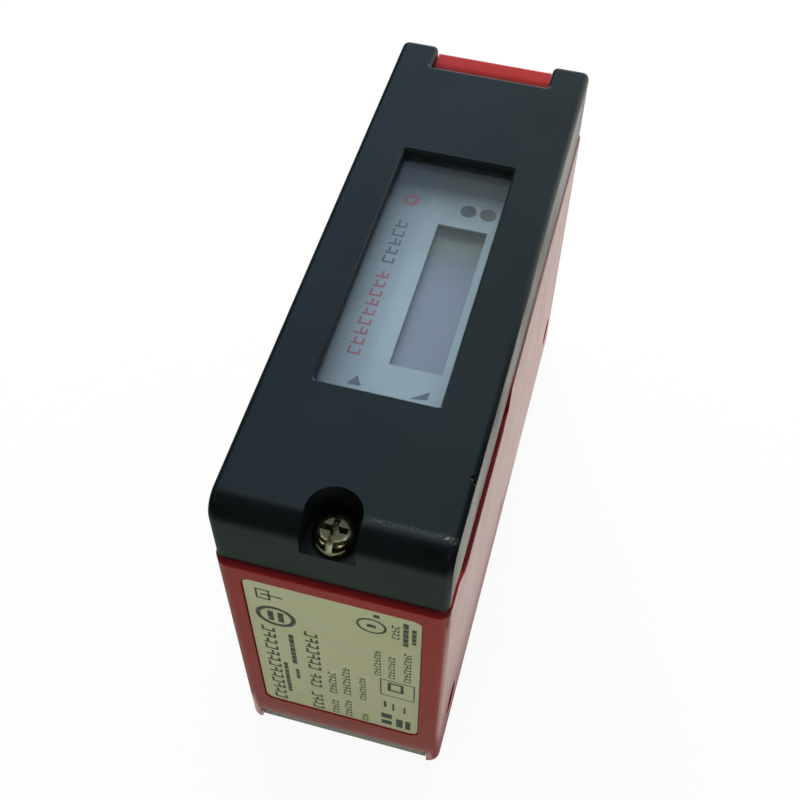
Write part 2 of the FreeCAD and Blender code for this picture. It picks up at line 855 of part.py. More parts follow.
def on_window_edge(edge):
    """True for the edges round the window opening in the cover's top face."""
    near = window_near.value - CUT_PAST
    far = window_far.value + CUT_PAST
    return lies_at(edge, top) and all(near < vertex.Point.y < far for vertex in edge.Vertexes)


def cut_screw_pocket(body):
    """The block round the screw, its pocket open to the label end, its hole and retainer recess."""
    block_near = cover_near + sizes.cover_wall * 0.75
    sketch = sketch_on(body, "XY_Plane", cover_bottom)
    draw_rectangle(sketch, -pocket_block_side, pocket_block_side, block_near, pocket_block_far)
    pad(body, sketch, cover_ceiling - cover_bottom + sizes.cover_wall / 4)
    radius = sizes.screw_pocket_radius
    sketch = sketch_on(body, "XY_Plane", top)
    draw_rectangle(sketch, -radius, radius, cover_near - CUT_PAST, pocket_row)
    pocket(body, sketch, sizes.screw_pocket_depth)
    sketch = sketch_on(body, "XY_Plane", top)
    draw_circle(sketch, ZERO, pocket_row, radius)
    pocket(body, sketch, sizes.screw_pocket_depth)
    sketch = sketch_on(body, "XY_Plane", top)
    draw_circle(sketch, ZERO, screw_row, screw_hole_radius)
    pocket(body, sketch, sizes.cover_rise)
    sketch = sketch_on(body, "XY_Plane", cover_bottom)
    draw_circle(sketch, ZERO, screw_row, sizes.retainer_radius + sizes.retainer_room)
    recess = sizes.retainer_lift + sizes.retainer_thick + sizes.cover_seam_gap
    pocket(body, sketch, recess, reverse=True)


def cut_cover_ears(body):
    """The notch for the knuckle, the lifted underside of the ears, and the pin bores."""
    sketch = sketch_on(body, "XY_Plane", top)
    draw_rectangle(sketch, -notch_side, notch_side, notch_near, cover_far + CUT_PAST)
    pocket(body, sketch, sizes.cover_rise)
    for corner, along in ((sizes.notch_corner, notch_near), (sizes.ear_corner, cover_far)):
        places = [(-notch_side, along), (notch_side, along)]
        round_edges(body, corner, corner_edges(ALONG_Z, places))
    sketch = sketch_on(body, "YZ_Plane", -half_width)
    ear_bottom = cover_bottom + sizes.ear_lift
    draw_rectangle(sketch, notch_near, cover_far + CUT_PAST, cover_bottom - CUT_PAST, ear_bottom)
    pocket(body, sketch, sizes.body_width, reverse=True)
    sketch = sketch_on(body, "YZ_Plane", -half_width)
    draw_circle(sketch, pin_row, pin_height, sizes.pin_radius + sizes.pin_play)
    pocket(body, sketch, half_width + cover_side - sizes.pin_end_wall, reverse=True)


def make_cover_window():
    """The clear pane, bonded into the rebate under the window opening."""
    reach = sizes.window_lap - sizes.pane_gap
    side = sizes.window_width / 2 + reach
    pane_top = cover_ceiling + sizes.window_rebate
    near = window_near - reach
    far = window_far + reach
    node("cover_window", box("cover_window", -side, side, near, far, pane_top - sizes.pane_thick, pane_top))


def make_cover_screw():
    """The captive screw: domed head with a slot and a cross recess, plain shank with a pointed tip."""
    body = new_body("cover_screw")
    head_top = pocket_floor + sizes.screw_head_height
    tip = pocket_floor - sizes.screw_length
    sketch = sketch_on(body, "XZ_Plane", -screw_row)
    outline = (
        (ZERO, head_top),
        (sizes.screw_head_radius, head_top),
        (sizes.screw_head_radius, pocket_floor),
        (sizes.screw_radius, pocket_floor),
        (sizes.screw_radius, tip + sizes.screw_tip),
        (sizes.screw_radius - sizes.screw_tip, tip),
        (ZERO, tip),
    )
    draw_outline(sketch, outline)
    turn("Revolution", body, sketch)
    round_edges(body, sizes.screw_head_dome, lambda edge: lies_at(edge, head_top))
    half_slot = sizes.screw_slot_width / 2
    reach = sizes.screw_head_radius + CUT_PAST
    half_cross = sizes.screw_cross_length / 2
    recesses = (
        (half_slot, reach, sizes.screw_slot_depth),
        (half_cross, half_slot, sizes.screw_cross_depth),
        (half_slot, half_cross, sizes.screw_cross_depth),
    )
    for across, along, depth in recesses:
        sketch = sketch_on(body, "XY_Plane", head_top)
        draw_rectangle(sketch, -across, across, screw_row - along, screw_row + along)
        pocket(body, sketch, depth)


def make_screw_retainer():
    """The ring on the shank that keeps the screw in the cover."""
    bottom = cover_bottom + sizes.retainer_lift
    ceiling = bottom + sizes.retainer_thick
    ring = rod("retainer_blank", sizes.retainer_radius, ZERO, screw_row, bottom, ceiling)
    hole = rod(
        "retainer_hole",
        sizes.screw_radius + sizes.retainer_play,
        ZERO,
        screw_row,
        bottom - CUT_PAST,
        ceiling + CUT_PAST,
    )
    node("screw_retainer", cut("screw_retainer", ring, hole))


def make_hinge_pin():
    """The pin through the knuckle and both ears, along X."""
    start = sizes.pin_sink - cover_side
    pin_end = cover_side - sizes.pin_end_wall - sizes.pin_play
    pin = document.addObject("Part::Cylinder", "hinge_pin")
    pin.setExpression("Radius", sizes.pin_radius.formula)
    pin.setExpression("Height", (pin_end - start).formula)
    pin.Placement = Placement(Vector(), Rotation(ALONG_Y, 90))
    place(pin, start, pin_row, pin_height)
    node("hinge_pin", pin)


# Operator panel


def make_panel_carrier():
    """The moulded carrier: sealing flange, raised box, locating skirt with hooks, and panel openings."""
    body = new_body("panel_carrier")
    steps = (
        (flange_side, flange_near, flange_far, flange_bottom, flange_bottom + sizes.flange_thick),
        (panel_side, panel_near, panel_far, flange_bottom, plate_top),
        (skirt_side, skirt_near, skirt_far, skirt_bottom, flange_bottom + sizes.flange_thick / 2),
    )
    for side, near, far, bottom, ceiling in steps:
        sketch = sketch_on(body, "XY_Plane", bottom)
        draw_rectangle(sketch, -side, side, near, far)
        pad(body, sketch, ceiling - bottom)
    corners = corners_of(-panel_side, panel_side, panel_near, panel_far)
    round_edges(body, sizes.panel_corner, corner_edges(ALONG_Z, corners))
    add_carrier_hooks(body)
    sketch = sketch_on(body, "XY_Plane", skirt_bottom)
    draw_rectangle(sketch, -well_side, well_side, well_near, well_far)
    pocket(body, sketch, plate_bottom - skirt_bottom, reverse=True)
    add_carrier_bosses(body)
    cut_panel_holes(body, plate_top, sizes.panel_plate, sizes.display_border + sizes.display_gap)


def add_carrier_hooks(body):
    """Four hooks that grip under the housing's deck."""
    hook_top = deck_bottom - sizes.hook_gap
    sketch = sketch_on(body, "XY_Plane", hook_top - sizes.hook_height)
    middle = (skirt_near + skirt_far) / 2
    half_hook = sizes.hook_width / 2
    root = skirt_side - sizes.skirt_wall / 2
    reach = opening_side + sizes.hook_reach
    for along in (middle - sizes.hook_spread / 2, middle + sizes.hook_spread / 2):
        for left, right in ((-reach, -root), (root, reach)):
            draw_rectangle(sketch, left, right, along - half_hook, along + half_hook)
    pad(body, sketch, sizes.hook_height)


def add_carrier_bosses(body):
    """Screw bosses under the panel plate, with their blind holes."""
    sketch = sketch_on(body, "XY_Plane", display_board_top)
    for across, along in display_screws:
        draw_circle(sketch, across, along, sizes.display_boss_radius)
    pad(body, sketch, plate_bottom - display_board_top + sizes.panel_plate / 2)
    sketch = sketch_on(body, "XY_Plane", display_board_top)
    for across, along in display_screws:
        draw_circle(sketch, across, along, sizes.display_screw_radius + sizes.screw_fit)
    pocket(body, sketch, sizes.display_screw_reach + sizes.screw_fit, reverse=True)


def cut_panel_holes(body, height, thick, display_margin):
    """Openings for the display, the keys and the light guides, from one height down."""
    sketch = sketch_on(body, "XY_Plane", height)
    draw_rectangle(
        sketch,
        display_left - display_margin,
        display_right + display_margin,
        display_near - display_margin,
        display_far + display_margin,
    )
    half_key = key_width / 2 + sizes.key_gap
    half_row = sizes.key_length / 2 + sizes.key_gap
    for across, along in KEY_PLACES.values():
        draw_rectangle(sketch, across - half_key, across + half_key, along - half_row, along + half_row)
    for across, along in LIGHT_PLACES.values():
        draw_circle(sketch, across, along, sizes.light_radius + sizes.light_gap)
    pocket(body, sketch, thick)
    places = []
    for across, along in KEY_PLACES.values():
        places += corners_of(across - half_key, across + half_key, along - half_row, along + half_row)
    round_edges(body, sizes.key_corner + sizes.key_gap, corner_edges(ALONG_Z, places))


def make_panel_foil():
    """The printed foil on the carrier, with the display cut out."""
    body = new_body("panel_foil")
    margin = sizes.foil_margin
    near = panel_near + margin
    far = panel_far - margin
    side = panel_side - margin
    sketch = sketch_on(body, "XY_Plane", plate_top)
    draw_rectangle(sketch, -side, side, near, far)
    pad(body, sketch, sizes.foil_thick)
    corners = corners_of(-side, side, near, far)
    round_edges(body, sizes.panel_corner - margin / 2, corner_edges(ALONG_Z, corners))
    cut_panel_holes(body, foil_top, sizes.foil_thick, ZERO)


def make_panel_gasket():
    """The flat rubber frame between the carrier's flange and the deck."""
    outer = box("gasket_outer", -flange_side, flange_side, flange_near, flange_far, seam, flange_bottom)
    inner = box(
        "gasket_inner",
        -opening_side,
        opening_side,
        opening_near,
        opening_far,
        seam - CUT_PAST,
        flange_bottom + CUT_PAST,
    )
    node("panel_gasket", cut("panel_gasket", outer, inner))


def make_key(label, across, along):
    """A key cap with a retaining flange under the plate and a stem towards its dome."""
    body = new_body(label)
    half_key = key_width / 2
    half_row = sizes.key_length / 2
    flange_top = plate_bottom - sizes.key_flange_gap
    key_flange_bottom = flange_top - sizes.key_flange_thick
    cap_top = foil_top + sizes.key_proud
    sketch = sketch_on(body, "XY_Plane", key_flange_bottom)
    draw_rectangle(sketch, across - half_key, across + half_key, along - half_row, along + half_row)
    pad(body, sketch, cap_top - key_flange_bottom)
    corners = corners_of(across - half_key, across + half_key, along - half_row, along + half_row)
    round_edges(body, sizes.key_corner, corner_edges(ALONG_Z, corners))
    round_edges(body, sizes.key_edge, lambda edge: lies_at(edge, cap_top))
    reach = sizes.key_flange
    sketch = sketch_on(body, "XY_Plane", key_flange_bottom)
    draw_rectangle(
        sketch,
        across - half_key - reach,
        across + half_key + reach,
        along - half_row - reach,
        along + half_row + reach,
    )
    pad(body, sketch, sizes.key_flange_thick)
    stem_bottom = display_board_top + sizes.dome_height + sizes.key_travel_room
    sketch = sketch_on(body, "XY_Plane", stem_bottom)
    draw_circle(sketch, across, along, sizes.key_stem_radius)
    pad(body, sketch, flange_top - stem_bottom)


def make_light_guide(label, across, along):
    """A clear guide from its LED up to the foil, with a flange under the plate."""
    body = new_body(label)
    bottom = display_board_top + sizes.led_height + sizes.light_gap
    sketch = sketch_on(body, "XY_Plane", bottom)
    draw_circle(sketch, across, along, sizes.light_radius)
    pad(body, sketch, foil_top - bottom)
    sketch = sketch_on(body, "XY_Plane", plate_bottom)
    draw_circle(sketch, across, along, sizes.light_radius + sizes.light_flange)
    pad(body, sketch, sizes.light_flange_thick, reverse=True)


def make_display_unit():
    """The display board with its display, domes, LEDs and screws."""
    gap = sizes.board_gap
    blank = box(
        "display_board_blank",
        gap - well_side,
        well_side - gap,
        well_near + gap,
        well_far - gap,
        display_board_bottom,
        display_board_top,
    )
    holes = [
        rod(
            f"display_board_hole_{index}",
            sizes.display_screw_radius + sizes.screw_fit,
            across,
            along,
            display_board_bottom - CUT_PAST,
            display_board_top + CUT_PAST,
        )
        for index, (across, along) in enumerate(display_screws)
    ]
    node("display_board", cut("display_board", blank, combine("Compound", "display_board_holes", holes)))
    screws = [
        screw(
            f"display_screw_{index}",
            place_of_screw,
            display_board_bottom,
            sizes.display_screw_head,
            sizes.display_screw_head_height,
            sizes.display_screw_radius,
            sizes.display_board_thick + sizes.display_screw_reach,
        )
        for index, place_of_screw in enumerate(display_screws)
    ]
    node("display_board_screws", combine("Compound", "display_board_screws", screws))
    make_display()
    domes = []
    for label, (across, along) in KEY_PLACES.items():
        dome = document.addObject("Part::Cone", f"{label}_dome")
        dome.setExpression("Radius1", sizes.dome_radius.formula)
        dome.setExpression("Radius2", sizes.dome_top_radius.formula)
        dome.setExpression("Height", sizes.dome_height.formula)
        place(dome, across, along, display_board_top)
        domes.append(dome)
    node("key_domes", combine("Compound", "key_domes", domes))
    half_led = sizes.led_length / 2
    half_side = sizes.led_width / 2
    leds = [
        box(
            f"{label}_led",
            across - half_led,
            across + half_led,
            along - half_side,
            along + half_side,
            display_board_top,
            display_board_top + sizes.led_height,
        )
        for label, (across, along) in LIGHT_PLACES.items()
    ]
    node("status_leds", combine("Compound", "status_leds", leds))


def make_display():
    """The display module: a frame on the board and a slightly smaller glass on it."""
    border = sizes.display_border
    step = sizes.display_frame_step
    frame_top = display_board_top + sizes.display_frame_height
    limits = (
        display_left - border,
        display_right + border,
        display_near - border,
        display_far + border,
    )
    left, right, near, far = limits
    frame = box("display_frame", left, right, near, far, display_board_top, frame_top)
    glass = box("display_glass", left + step, right - step, near + step, far - step, frame_top, display_top)
    node("oled_display", combine("MultiFuse", "oled_display", [frame, glass]))


def screw(label, centre, seat, head_radius, head_height, shank_radius, reach):
    """A board screw from below: a round head under its seat and a shank that goes up."""
    across, along = centre
    head = rod(f"{label}_head", head_radius, across, along, seat - head_height, seat)
    shank = rod(f"{label}_shank", shank_radius, across, along, seat, seat + reach)
    return combine("MultiFuse", label, [head, shank])


# Boards


def make_main_board():
    """The main board on the housing's posts, with its screws and larger components."""
    side = cavity_side - sizes.main_board_gap
    near = sizes.main_board_end_gap - cavity_end
    far = cavity_end - sizes.plug_nut_thick - sizes.main_board_nut_gap
    blank = box("main_board_blank", -side, side, near, far, main_board_bottom, main_board_top)
    holes = [
        rod(
            f"main_board_hole_{index}",
            sizes.main_screw_radius + sizes.screw_fit,
            across,
            along,
            main_board_bottom - CUT_PAST,
            main_board_top + CUT_PAST,
        )
        for index, (across, along) in enumerate(post_places)
    ]
    node("main_board", cut("main_board", blank, combine("Compound", "main_board_holes", holes)))
    screws = [
        screw(
            f"main_screw_{index}",
            centre,
            main_board_bottom,
            sizes.main_screw_head,
            sizes.main_screw_head_height,
            sizes.main_screw_radius,
            sizes.main_board_thick + sizes.main_screw_reach,
        )
        for index, centre in enumerate(post_places)
    ]
    node("main_board_screws", combine("Compound", "main_board_screws", screws))
    half_chip = sizes.processor_width / 2
    chip = box(
        "signal_processor",
        -half_chip,
        half_chip,
        sizes.processor_row - half_chip,
        sizes.processor_row + half_chip,
        main_board_top,
        main_board_top + sizes.processor_height,
    )
    node("signal_processor", chip)
    capacitors = [
        rod(
            f"capacitor_{index}",
            sizes.capacitor_radius,
            across,
            post_far - sizes.capacitor_post_gap,
            main_board_top,
            main_board_top + sizes.capacitor_height,
        )
        for index, across in enumerate((-sizes.capacitor_side, sizes.capacitor_side))
    ]
    node("power_capacitors", combine("Compound", "power_capacitors", capacitors))
    half_header = sizes.header_width / 2
    half_thick = sizes.header_thick / 2
    header = box(
        "board_header",
        -half_header,
        half_header,
        sizes.header_row - half_thick,
        sizes.header_row + half_thick,
        main_board_top,
        display_board_bottom,
    )
    node("board_header", header)


# Optics


def make_front_glass():
    """The front glass between the cheeks, with chamfered edges, and its adhesive seal."""
    side = slot_side - sizes.glass_side_gap
    end = half_length - sizes.glass_end_gap
    body = new_body("front_glass")
    sketch = sketch_on(body, "XY_Plane", glass_bottom)
    draw_rectangle(sketch, -side, side, -end, end)
    pad(body, sketch, sizes.glass_thick)
    round_edges(
        body,
        sizes.glass_edge_chamfer,
        lambda edge: lies_at(edge, glass_bottom),
        kind="Chamfer",
    )
    outer = box("seal_outer", -side, side, -end, end, glass_top, glass_seat)
    inner = box(
        "seal_inner",
        -cavity_side,
        cavity_side,
        -optics_pocket_end,
        optics_pocket_end,
        glass_top - CUT_PAST,
        glass_seat + CUT_PAST,
    )
    node("glass_seal", cut("glass_seal", outer, inner))


def make_optics_carrier():
    """The optics carrier: a base plate with a transmitter tube and a tapered receiver tube."""
    body = new_body("optics_carrier")
    side = cavity_side - sizes.optics_plate_gap
    end = optics_pocket_end - sizes.optics_plate_gap
    middle = optics_front + sizes.optics_plate_thick / 2
    sketch = sketch_on(body, "XY_Plane", optics_front)
    draw_rectangle(sketch, -side, side, -end, end)
    pad(body, sketch, sizes.optics_plate_thick)
    sketch = sketch_on(body, "XY_Plane", middle)
    transmitter_barrel = sizes.transmitter_lens_radius + sizes.lens_gap + sizes.transmitter_wall
    draw_circle(sketch, ZERO, sizes.transmitter_row, transmitter_barrel)
    pad(body, sketch, barrel_top - middle)
    receiver_barrel = sizes.receiver_lens_radius + sizes.lens_gap + sizes.receiver_wall
    sketch = sketch_on(body, "XZ_Plane", -sizes.receiver_row)
    taper = (
        (ZERO, middle),
        (receiver_barrel, middle),
        (receiver_barrel, optics_seat),
        (sizes.receiver_barrel_back, barrel_top),
        (ZERO, barrel_top),
    )
    draw_outline(sketch, taper)
    turn("Revolution", body, sketch)
    half_web = sizes.web_thick / 2
    sketch = sketch_on(body, "XY_Plane", middle)
    draw_rectangle(sketch, -half_web, half_web, sizes.transmitter_row, sizes.receiver_row)
    pad(body, sketch, barrel_top - sizes.web_drop - middle)
    bore_optics(body)
    sketch = sketch_on(body, "XY_Plane", optics_front)
    for across, along in optics_screw_places:
        draw_circle(sketch, across, along, sizes.optics_screw_radius + sizes.screw_fit)
    pocket(body, sketch, sizes.optics_plate_thick, reverse=True)


def bore_optics(body):
    """The stepped bores: lens seats, light paths, the diode's seat and the sensor's slot."""
    front = optics_front - CUT_PAST
    lens_wall = sizes.transmitter_lens_radius + sizes.lens_gap
    lens_seat = transmitter_front + sizes.transmitter_lens_thick
    diode_wall = sizes.diode_flange_radius + sizes.diode_fit
    diode_seat = barrel_top - sizes.diode_flange_thick - sizes.diode_can_height
    sketch = sketch_on(body, "XZ_Plane", -sizes.transmitter_row)
    transmitter_path = (
        (ZERO, front),
        (lens_wall, front),
        (lens_wall, lens_seat),
        (transmitter_bore, lens_seat),
        (transmitter_bore, diode_seat),
        (diode_wall, diode_seat),
        (diode_wall, barrel_top + CUT_PAST),
        (ZERO, barrel_top + CUT_PAST),
    )
    draw_outline(sketch, transmitter_path)
    turn("Groove", body, sketch)
    lens_wall = sizes.receiver_lens_radius + sizes.lens_gap
    lens_seat = receiver_front + sizes.receiver_lens_thick
    cap_bottom = barrel_top - sizes.barrel_cap
    sketch = sketch_on(body, "XZ_Plane", -sizes.receiver_row)
    receiver_path = (
        (ZERO, front),
        (lens_wall, front),
        (lens_wall, lens_seat),
        (receiver_bore, lens_seat),
        (sizes.receiver_barrel_back - sizes.receiver_back_wall, cap_bottom),
        (ZERO, cap_bottom),
    )
    draw_outline(sketch, receiver_path)
    turn("Groove", body, sketch)
    half_slot = sizes.sensor_slot_width / 2
    half_long = sizes.sensor_slot_length / 2
    sketch = sketch_on(body, "XY_Plane", barrel_top)
    row_near = sizes.receiver_row - half_long
    draw_rectangle(sketch, -half_slot, half_slot, row_near, sizes.receiver_row + half_long)
    pocket(body, sketch, sizes.barrel_cap)


def make_lens(label, radius, row, front, thick, curve, bore):
    """A plano-convex lens with its bulge to the front, and the ring that holds it."""
    lens_back = front + thick
    disc = rod(f"{label}_disc", radius, ZERO, row, front - CUT_PAST, lens_back)
    ball = document.addObject("Part::Sphere", f"{label}_ball")
    ball.setExpression("Radius", curve.formula)
    place(ball, ZERO, row, front + curve)
    node(label, combine("MultiCommon", label, [disc, ball]))
    sag = front + curve - (curve * curve - bore * bore).root()
    ring_radius = radius + sizes.lens_gap - sizes.ring_play
    ring_front = optics_front + sizes.ring_sink
    ring = rod(f"{label}_ring_blank", ring_radius, ZERO, row, ring_front, sag - sizes.ring_clear)
    hole = rod(f"{label}_ring_hole", bore, ZERO, row, ring_front - CUT_PAST, sag + CUT_PAST)
    node(f"{label}_ring", cut(f"{label}_ring", ring, hole))


def make_optics():
    """Lenses, laser diode, receiver sensor with its board, and the carrier's screws."""
    make_lens(
        "transmitter_lens",
        sizes.transmitter_lens_radius,
        sizes.transmitter_row,
        transmitter_front,
        sizes.transmitter_lens_thick,
        sizes.transmitter_lens_curve,
        transmitter_bore,
    )
    make_lens(
        "receiver_lens",
        sizes.receiver_lens_radius,
        sizes.receiver_row,
        receiver_front,
        sizes.receiver_lens_thick,
        sizes.receiver_lens_curve,
        receiver_bore,
    )
    make_laser_diode()
    row = sizes.receiver_row
    half_board = sizes.receiver_board_width / 2
    half_long = sizes.receiver_board_length / 2
    half_sensor = sizes.sensor_width / 2
    half_chip = sizes.sensor_length / 2
    sensor = box(
        "receiver_sensor",
        -half_sensor,
        half_sensor,
        row - half_chip,
        row + half_chip,
        barrel_top,
        sensor_top,
    )
    node("receiver_sensor", sensor)
    board = box(
        "receiver_board",
        -half_board,
        half_board,
        row - half_long,
        row + half_long,
        sensor_top,
        receiver_board_top,
    )
    node("receiver_board", board)
    half_header = sizes.receiver_header_width / 2
    header_far = row + half_long
    header = box(
        "receiver_header",
        -half_header,
        half_header,
        header_far - sizes.header_thick,
        header_far,
        receiver_board_top,
        main_board_bottom,
    )
    node("receiver_header", header)
    screws = [
        screw(
            f"optics_screw_{index}",
            centre,
            optics_front,
            sizes.optics_screw_head,
            sizes.optics_screw_head_height,
            sizes.optics_screw_radius,
            sizes.optics_plate_thick + sizes.optics_screw_reach,
        )
        for index, centre in enumerate(optics_screw_places)
    ]
    node("optics_screws", combine("Compound", "optics_screws", screws))


def make_laser_diode():
    """The laser diode: can, flange and three leads up to the main board."""
    row = sizes.transmitter_row
    flange_seat = barrel_top - sizes.diode_flange_thick
    can_front = flange_seat - sizes.diode_can_height
    pieces = [
        rod("diode_can", sizes.diode_can_radius, ZERO, row, can_front, flange_seat),
        rod("diode_flange", sizes.diode_flange_radius, ZERO, row, flange_seat, barrel_top),
    ]
    circle = sizes.diode_lead_circle
    for index, (across, along) in enumerate(((-circle, ZERO), (circle, ZERO), (ZERO, circle))):
        lead = rod(
            f"diode_lead_{index}",
            sizes.diode_lead_radius,
            across,
            row + along,
            barrel_top,
            main_board_bottom,
        )
        pieces.append(lead)
    node("laser_diode", combine("MultiFuse", "laser_diode", pieces))


# Plug connector


def make_plug():
    """The round plug on the hinge end: shell, seal, nut, insert, contacts and their board."""
    shell = new_body("connector_shell")
    sketch = sketch_on(shell, "XY_Plane", sizes.plug_height)
    relief_far = plug_flange_far + sizes.plug_relief_length
    profile = (
        (plug_bore_radius, plug_tail),
        (plug_neck_radius, plug_tail),
        (plug_neck_radius, plug_flange_near),
        (plug_flange_radius, plug_flange_near),
        (plug_flange_radius, plug_flange_far),
        (plug_relief_radius, plug_flange_far),
        (plug_relief_radius, relief_far),
        (sizes.plug_thread_radius, relief_far),
        (sizes.plug_thread_radius, plug_tip - sizes.plug_end_chamfer),
        (sizes.plug_thread_radius - sizes.plug_end_chamfer, plug_tip),
        (plug_bore_radius, plug_tip),
    )
    draw_outline(sketch, profile)
    turn("Revolution", shell, sketch)

    seal = new_body("connector_seal")
    sketch = sketch_on(seal, "XZ_Plane", -half_length)
    draw_circle(sketch, ZERO, sizes.plug_height, plug_flange_radius - sizes.plug_seal_lip)
    draw_circle(sketch, ZERO, sizes.plug_height, plug_neck_radius + sizes.plug_hole_play)
    pad(seal, sketch, sizes.plug_seal_thick, reverse=True)

    nut = new_body("connector_nut")
    sketch = sketch_on(nut, "XZ_Plane", -cavity_end)
    draw_hexagon(sketch, ZERO, sizes.plug_height, sizes.plug_nut_flats, points_along=False)
    draw_circle(sketch, ZERO, sizes.plug_height, plug_neck_radius + sizes.plug_hole_play)
    pad(nut, sketch, sizes.plug_nut_thick)
    make_insert()
    make_contacts()


def contact_places():
    """Centre contact, and four more on a circle at 45 degrees."""
    reach = sizes.contact_circle / math.sqrt(2)
    height = sizes.plug_height
    ring = [(side, height + up) for side in (-reach, reach) for up in (-reach, reach)]
    return [(ZERO, height)] + ring


def make_insert():
    """The insert that carries the contacts, with its coding key."""
    body = new_body("connector_insert")
    sketch = sketch_on(body, "XZ_Plane", -plug_tail)
    draw_circle(sketch, ZERO, sizes.plug_height, insert_radius)
    pad(body, sketch, insert_face - plug_tail, reverse=True)
    half_key = sizes.insert_key_width / 2
    key_top = sizes.plug_height + insert_radius - sizes.insert_play
    sketch = sketch_on(body, "XZ_Plane", -insert_face)
    draw_rectangle(sketch, -half_key, half_key, key_top - sizes.insert_key_height, key_top)
    pad(body, sketch, sizes.insert_key_length, reverse=True)
    sketch = sketch_on(body, "XZ_Plane", -insert_face - CUT_PAST)
    for across, up in contact_places():
        draw_circle(sketch, across, up, sizes.contact_radius + sizes.contact_fit)
    pocket(body, sketch, insert_face - plug_tail + CUT_PAST * 2, reverse=True)


def make_contacts():
    """The five contacts, each with a tapered tip, and the board that they end on."""
    contacts = []
    tip_start = insert_face + sizes.contact_length - sizes.contact_tip
    for index, (across, up) in enumerate(contact_places()):
        stem = document.addObject("Part::Cylinder", f"contact_stem_{index}")
        stem.setExpression("Radius", sizes.contact_radius.formula)
        stem.setExpression("Height", (tip_start - contact_tail).formula)
        stem.Placement = Placement(Vector(), Rotation(ALONG_X, -90))
        place(stem, across, contact_tail, up)
        tip = document.addObject("Part::Cone", f"contact_tip_{index}")
        tip.setExpression("Radius1", sizes.contact_radius.formula)
        tip.setExpression("Radius2", (sizes.contact_radius - sizes.contact_tip * 2 / 3).formula)
        tip.setExpression("Height", sizes.contact_tip.formula)
        tip.Placement = Placement(Vector(), Rotation(ALONG_X, -90))
        place(tip, across, tip_start, up)
        contacts.append(combine("MultiFuse", f"contact_{index}", [stem, tip]))
    node("connector_pins", combine("Compound", "connector_pins", contacts))
    half_board = post_side - sizes.main_screw_head - sizes.plug_board_gap
    board = box(
        "connector_board",
        -half_board,
        half_board,
        contact_tail - sizes.plug_board_thick,
        contact_tail,
        sizes.plug_height - sizes.plug_board_drop,
        main_board_bottom,
    )
    node("connector_board", board)


def make_type_label():
    """The label in its recess on the end face."""
    body = new_body("type_label")
    side = label_side - sizes.label_gap
    bottom = sizes.label_bottom + sizes.label_gap
    ceiling = label_top - sizes.label_gap
    sketch = sketch_on(body, "XZ_Plane", half_length - sizes.label_recess)
    draw_rectangle(sketch, -side, side, bottom, ceiling)
    pad(body, sketch, sizes.label_thick)
    places = corners_of(-side, side, bottom, ceiling)
    round_edges(body, sizes.label_corner - sizes.label_gap, corner_edges(ALONG_Y, places))


def check_and_export():
    """Stops on any failed object or shape, then writes one file for each node."""
    document.recompute()
    for item in document.Objects:
        if "Invalid" in item.State or "Error" in item.State:
            raise RuntimeError(f"{item.Name} failed: {item.State}")
    for label, item in subparts.items():
        if item.Shape.isNull() or not item.Shape.isValid():
            raise RuntimeError(f"{label} has no valid shape")
    os.makedirs("parts", exist_ok=True)
    for label, item in subparts.items():
        item.Shape.exportStep(f"parts/{label}.step")


make_housing()
make_front_glass()
make_type_label()
make_optics_carrier()
make_optics()
make_main_board()
make_plug()
make_panel_gasket()
make_panel_carrier()
make_panel_foil()
make_display_unit()
for key_label, (key_across, key_along) in KEY_PLACES.items():
    make_key(key_label, key_across, key_along)
for light_label, (light_across, light_along) in LIGHT_PLACES.items():
    make_light_guide(light_label, light_across, light_along)
make_rear_cover()
make_cover_window()
make_cover_screw()
make_screw_retainer()
make_hinge_pin()
check_and_export()
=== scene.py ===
"""Looks of the optical distance sensor: finishes, print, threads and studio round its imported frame."""

import logging
from abc import ABC, abstractmethod
from dataclasses import dataclass
from enum import Enum

import bpy
import numpy as np
from mathutils import Matrix, Vector


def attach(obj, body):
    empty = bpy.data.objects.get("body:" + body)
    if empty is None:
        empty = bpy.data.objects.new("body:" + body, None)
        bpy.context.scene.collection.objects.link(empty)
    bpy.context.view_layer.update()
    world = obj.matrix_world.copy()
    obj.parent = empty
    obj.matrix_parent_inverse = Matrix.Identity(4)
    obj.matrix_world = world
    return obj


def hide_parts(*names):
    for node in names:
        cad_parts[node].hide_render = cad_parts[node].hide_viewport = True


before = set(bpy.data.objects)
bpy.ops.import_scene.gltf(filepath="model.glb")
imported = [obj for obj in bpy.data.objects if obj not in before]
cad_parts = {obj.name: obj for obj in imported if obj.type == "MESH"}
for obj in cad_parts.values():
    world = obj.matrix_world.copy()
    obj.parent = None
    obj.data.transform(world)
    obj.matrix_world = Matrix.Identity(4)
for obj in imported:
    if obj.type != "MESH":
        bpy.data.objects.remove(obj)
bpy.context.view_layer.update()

log = logging.getLogger("distance_sensor")

MM = 0.001
Pair = tuple[float, float]
Triple = tuple[float, float, float]
Quad = tuple[float, float, float, float]
Colour = Quad
Socket = bpy.types.NodeSocket
Value = float | Socket
Filled = dict[int | str, Value | Triple | Colour]
WHITE: Colour = (1.0, 1.0, 1.0, 1.0)
RING_SIDES = 40


def srgb(*seen: int) -> Colour:
    """Turns a colour as seen on screen into the linear colour that a shader takes.

    Args:
        seen: Red, green and blue, 0 to 255.

    Returns:
        Linear red, green and blue with full opacity.
    """
    share = np.array(seen) / 255
    light = np.where(share <= 0.04045, share / 12.92, ((share + 0.055) / 1.055) ** 2.4)
    return (*light.tolist(), 1.0)


class Slot(Enum):
    """The record's material slot names for new pieces; nothing in this script uses them."""

    LABEL = "label_film"
    PANEL = "panel_film"
    KEY = "key_plastic"
    SCREW = "screw_nickel"
    PLUG = "plug_nickel"


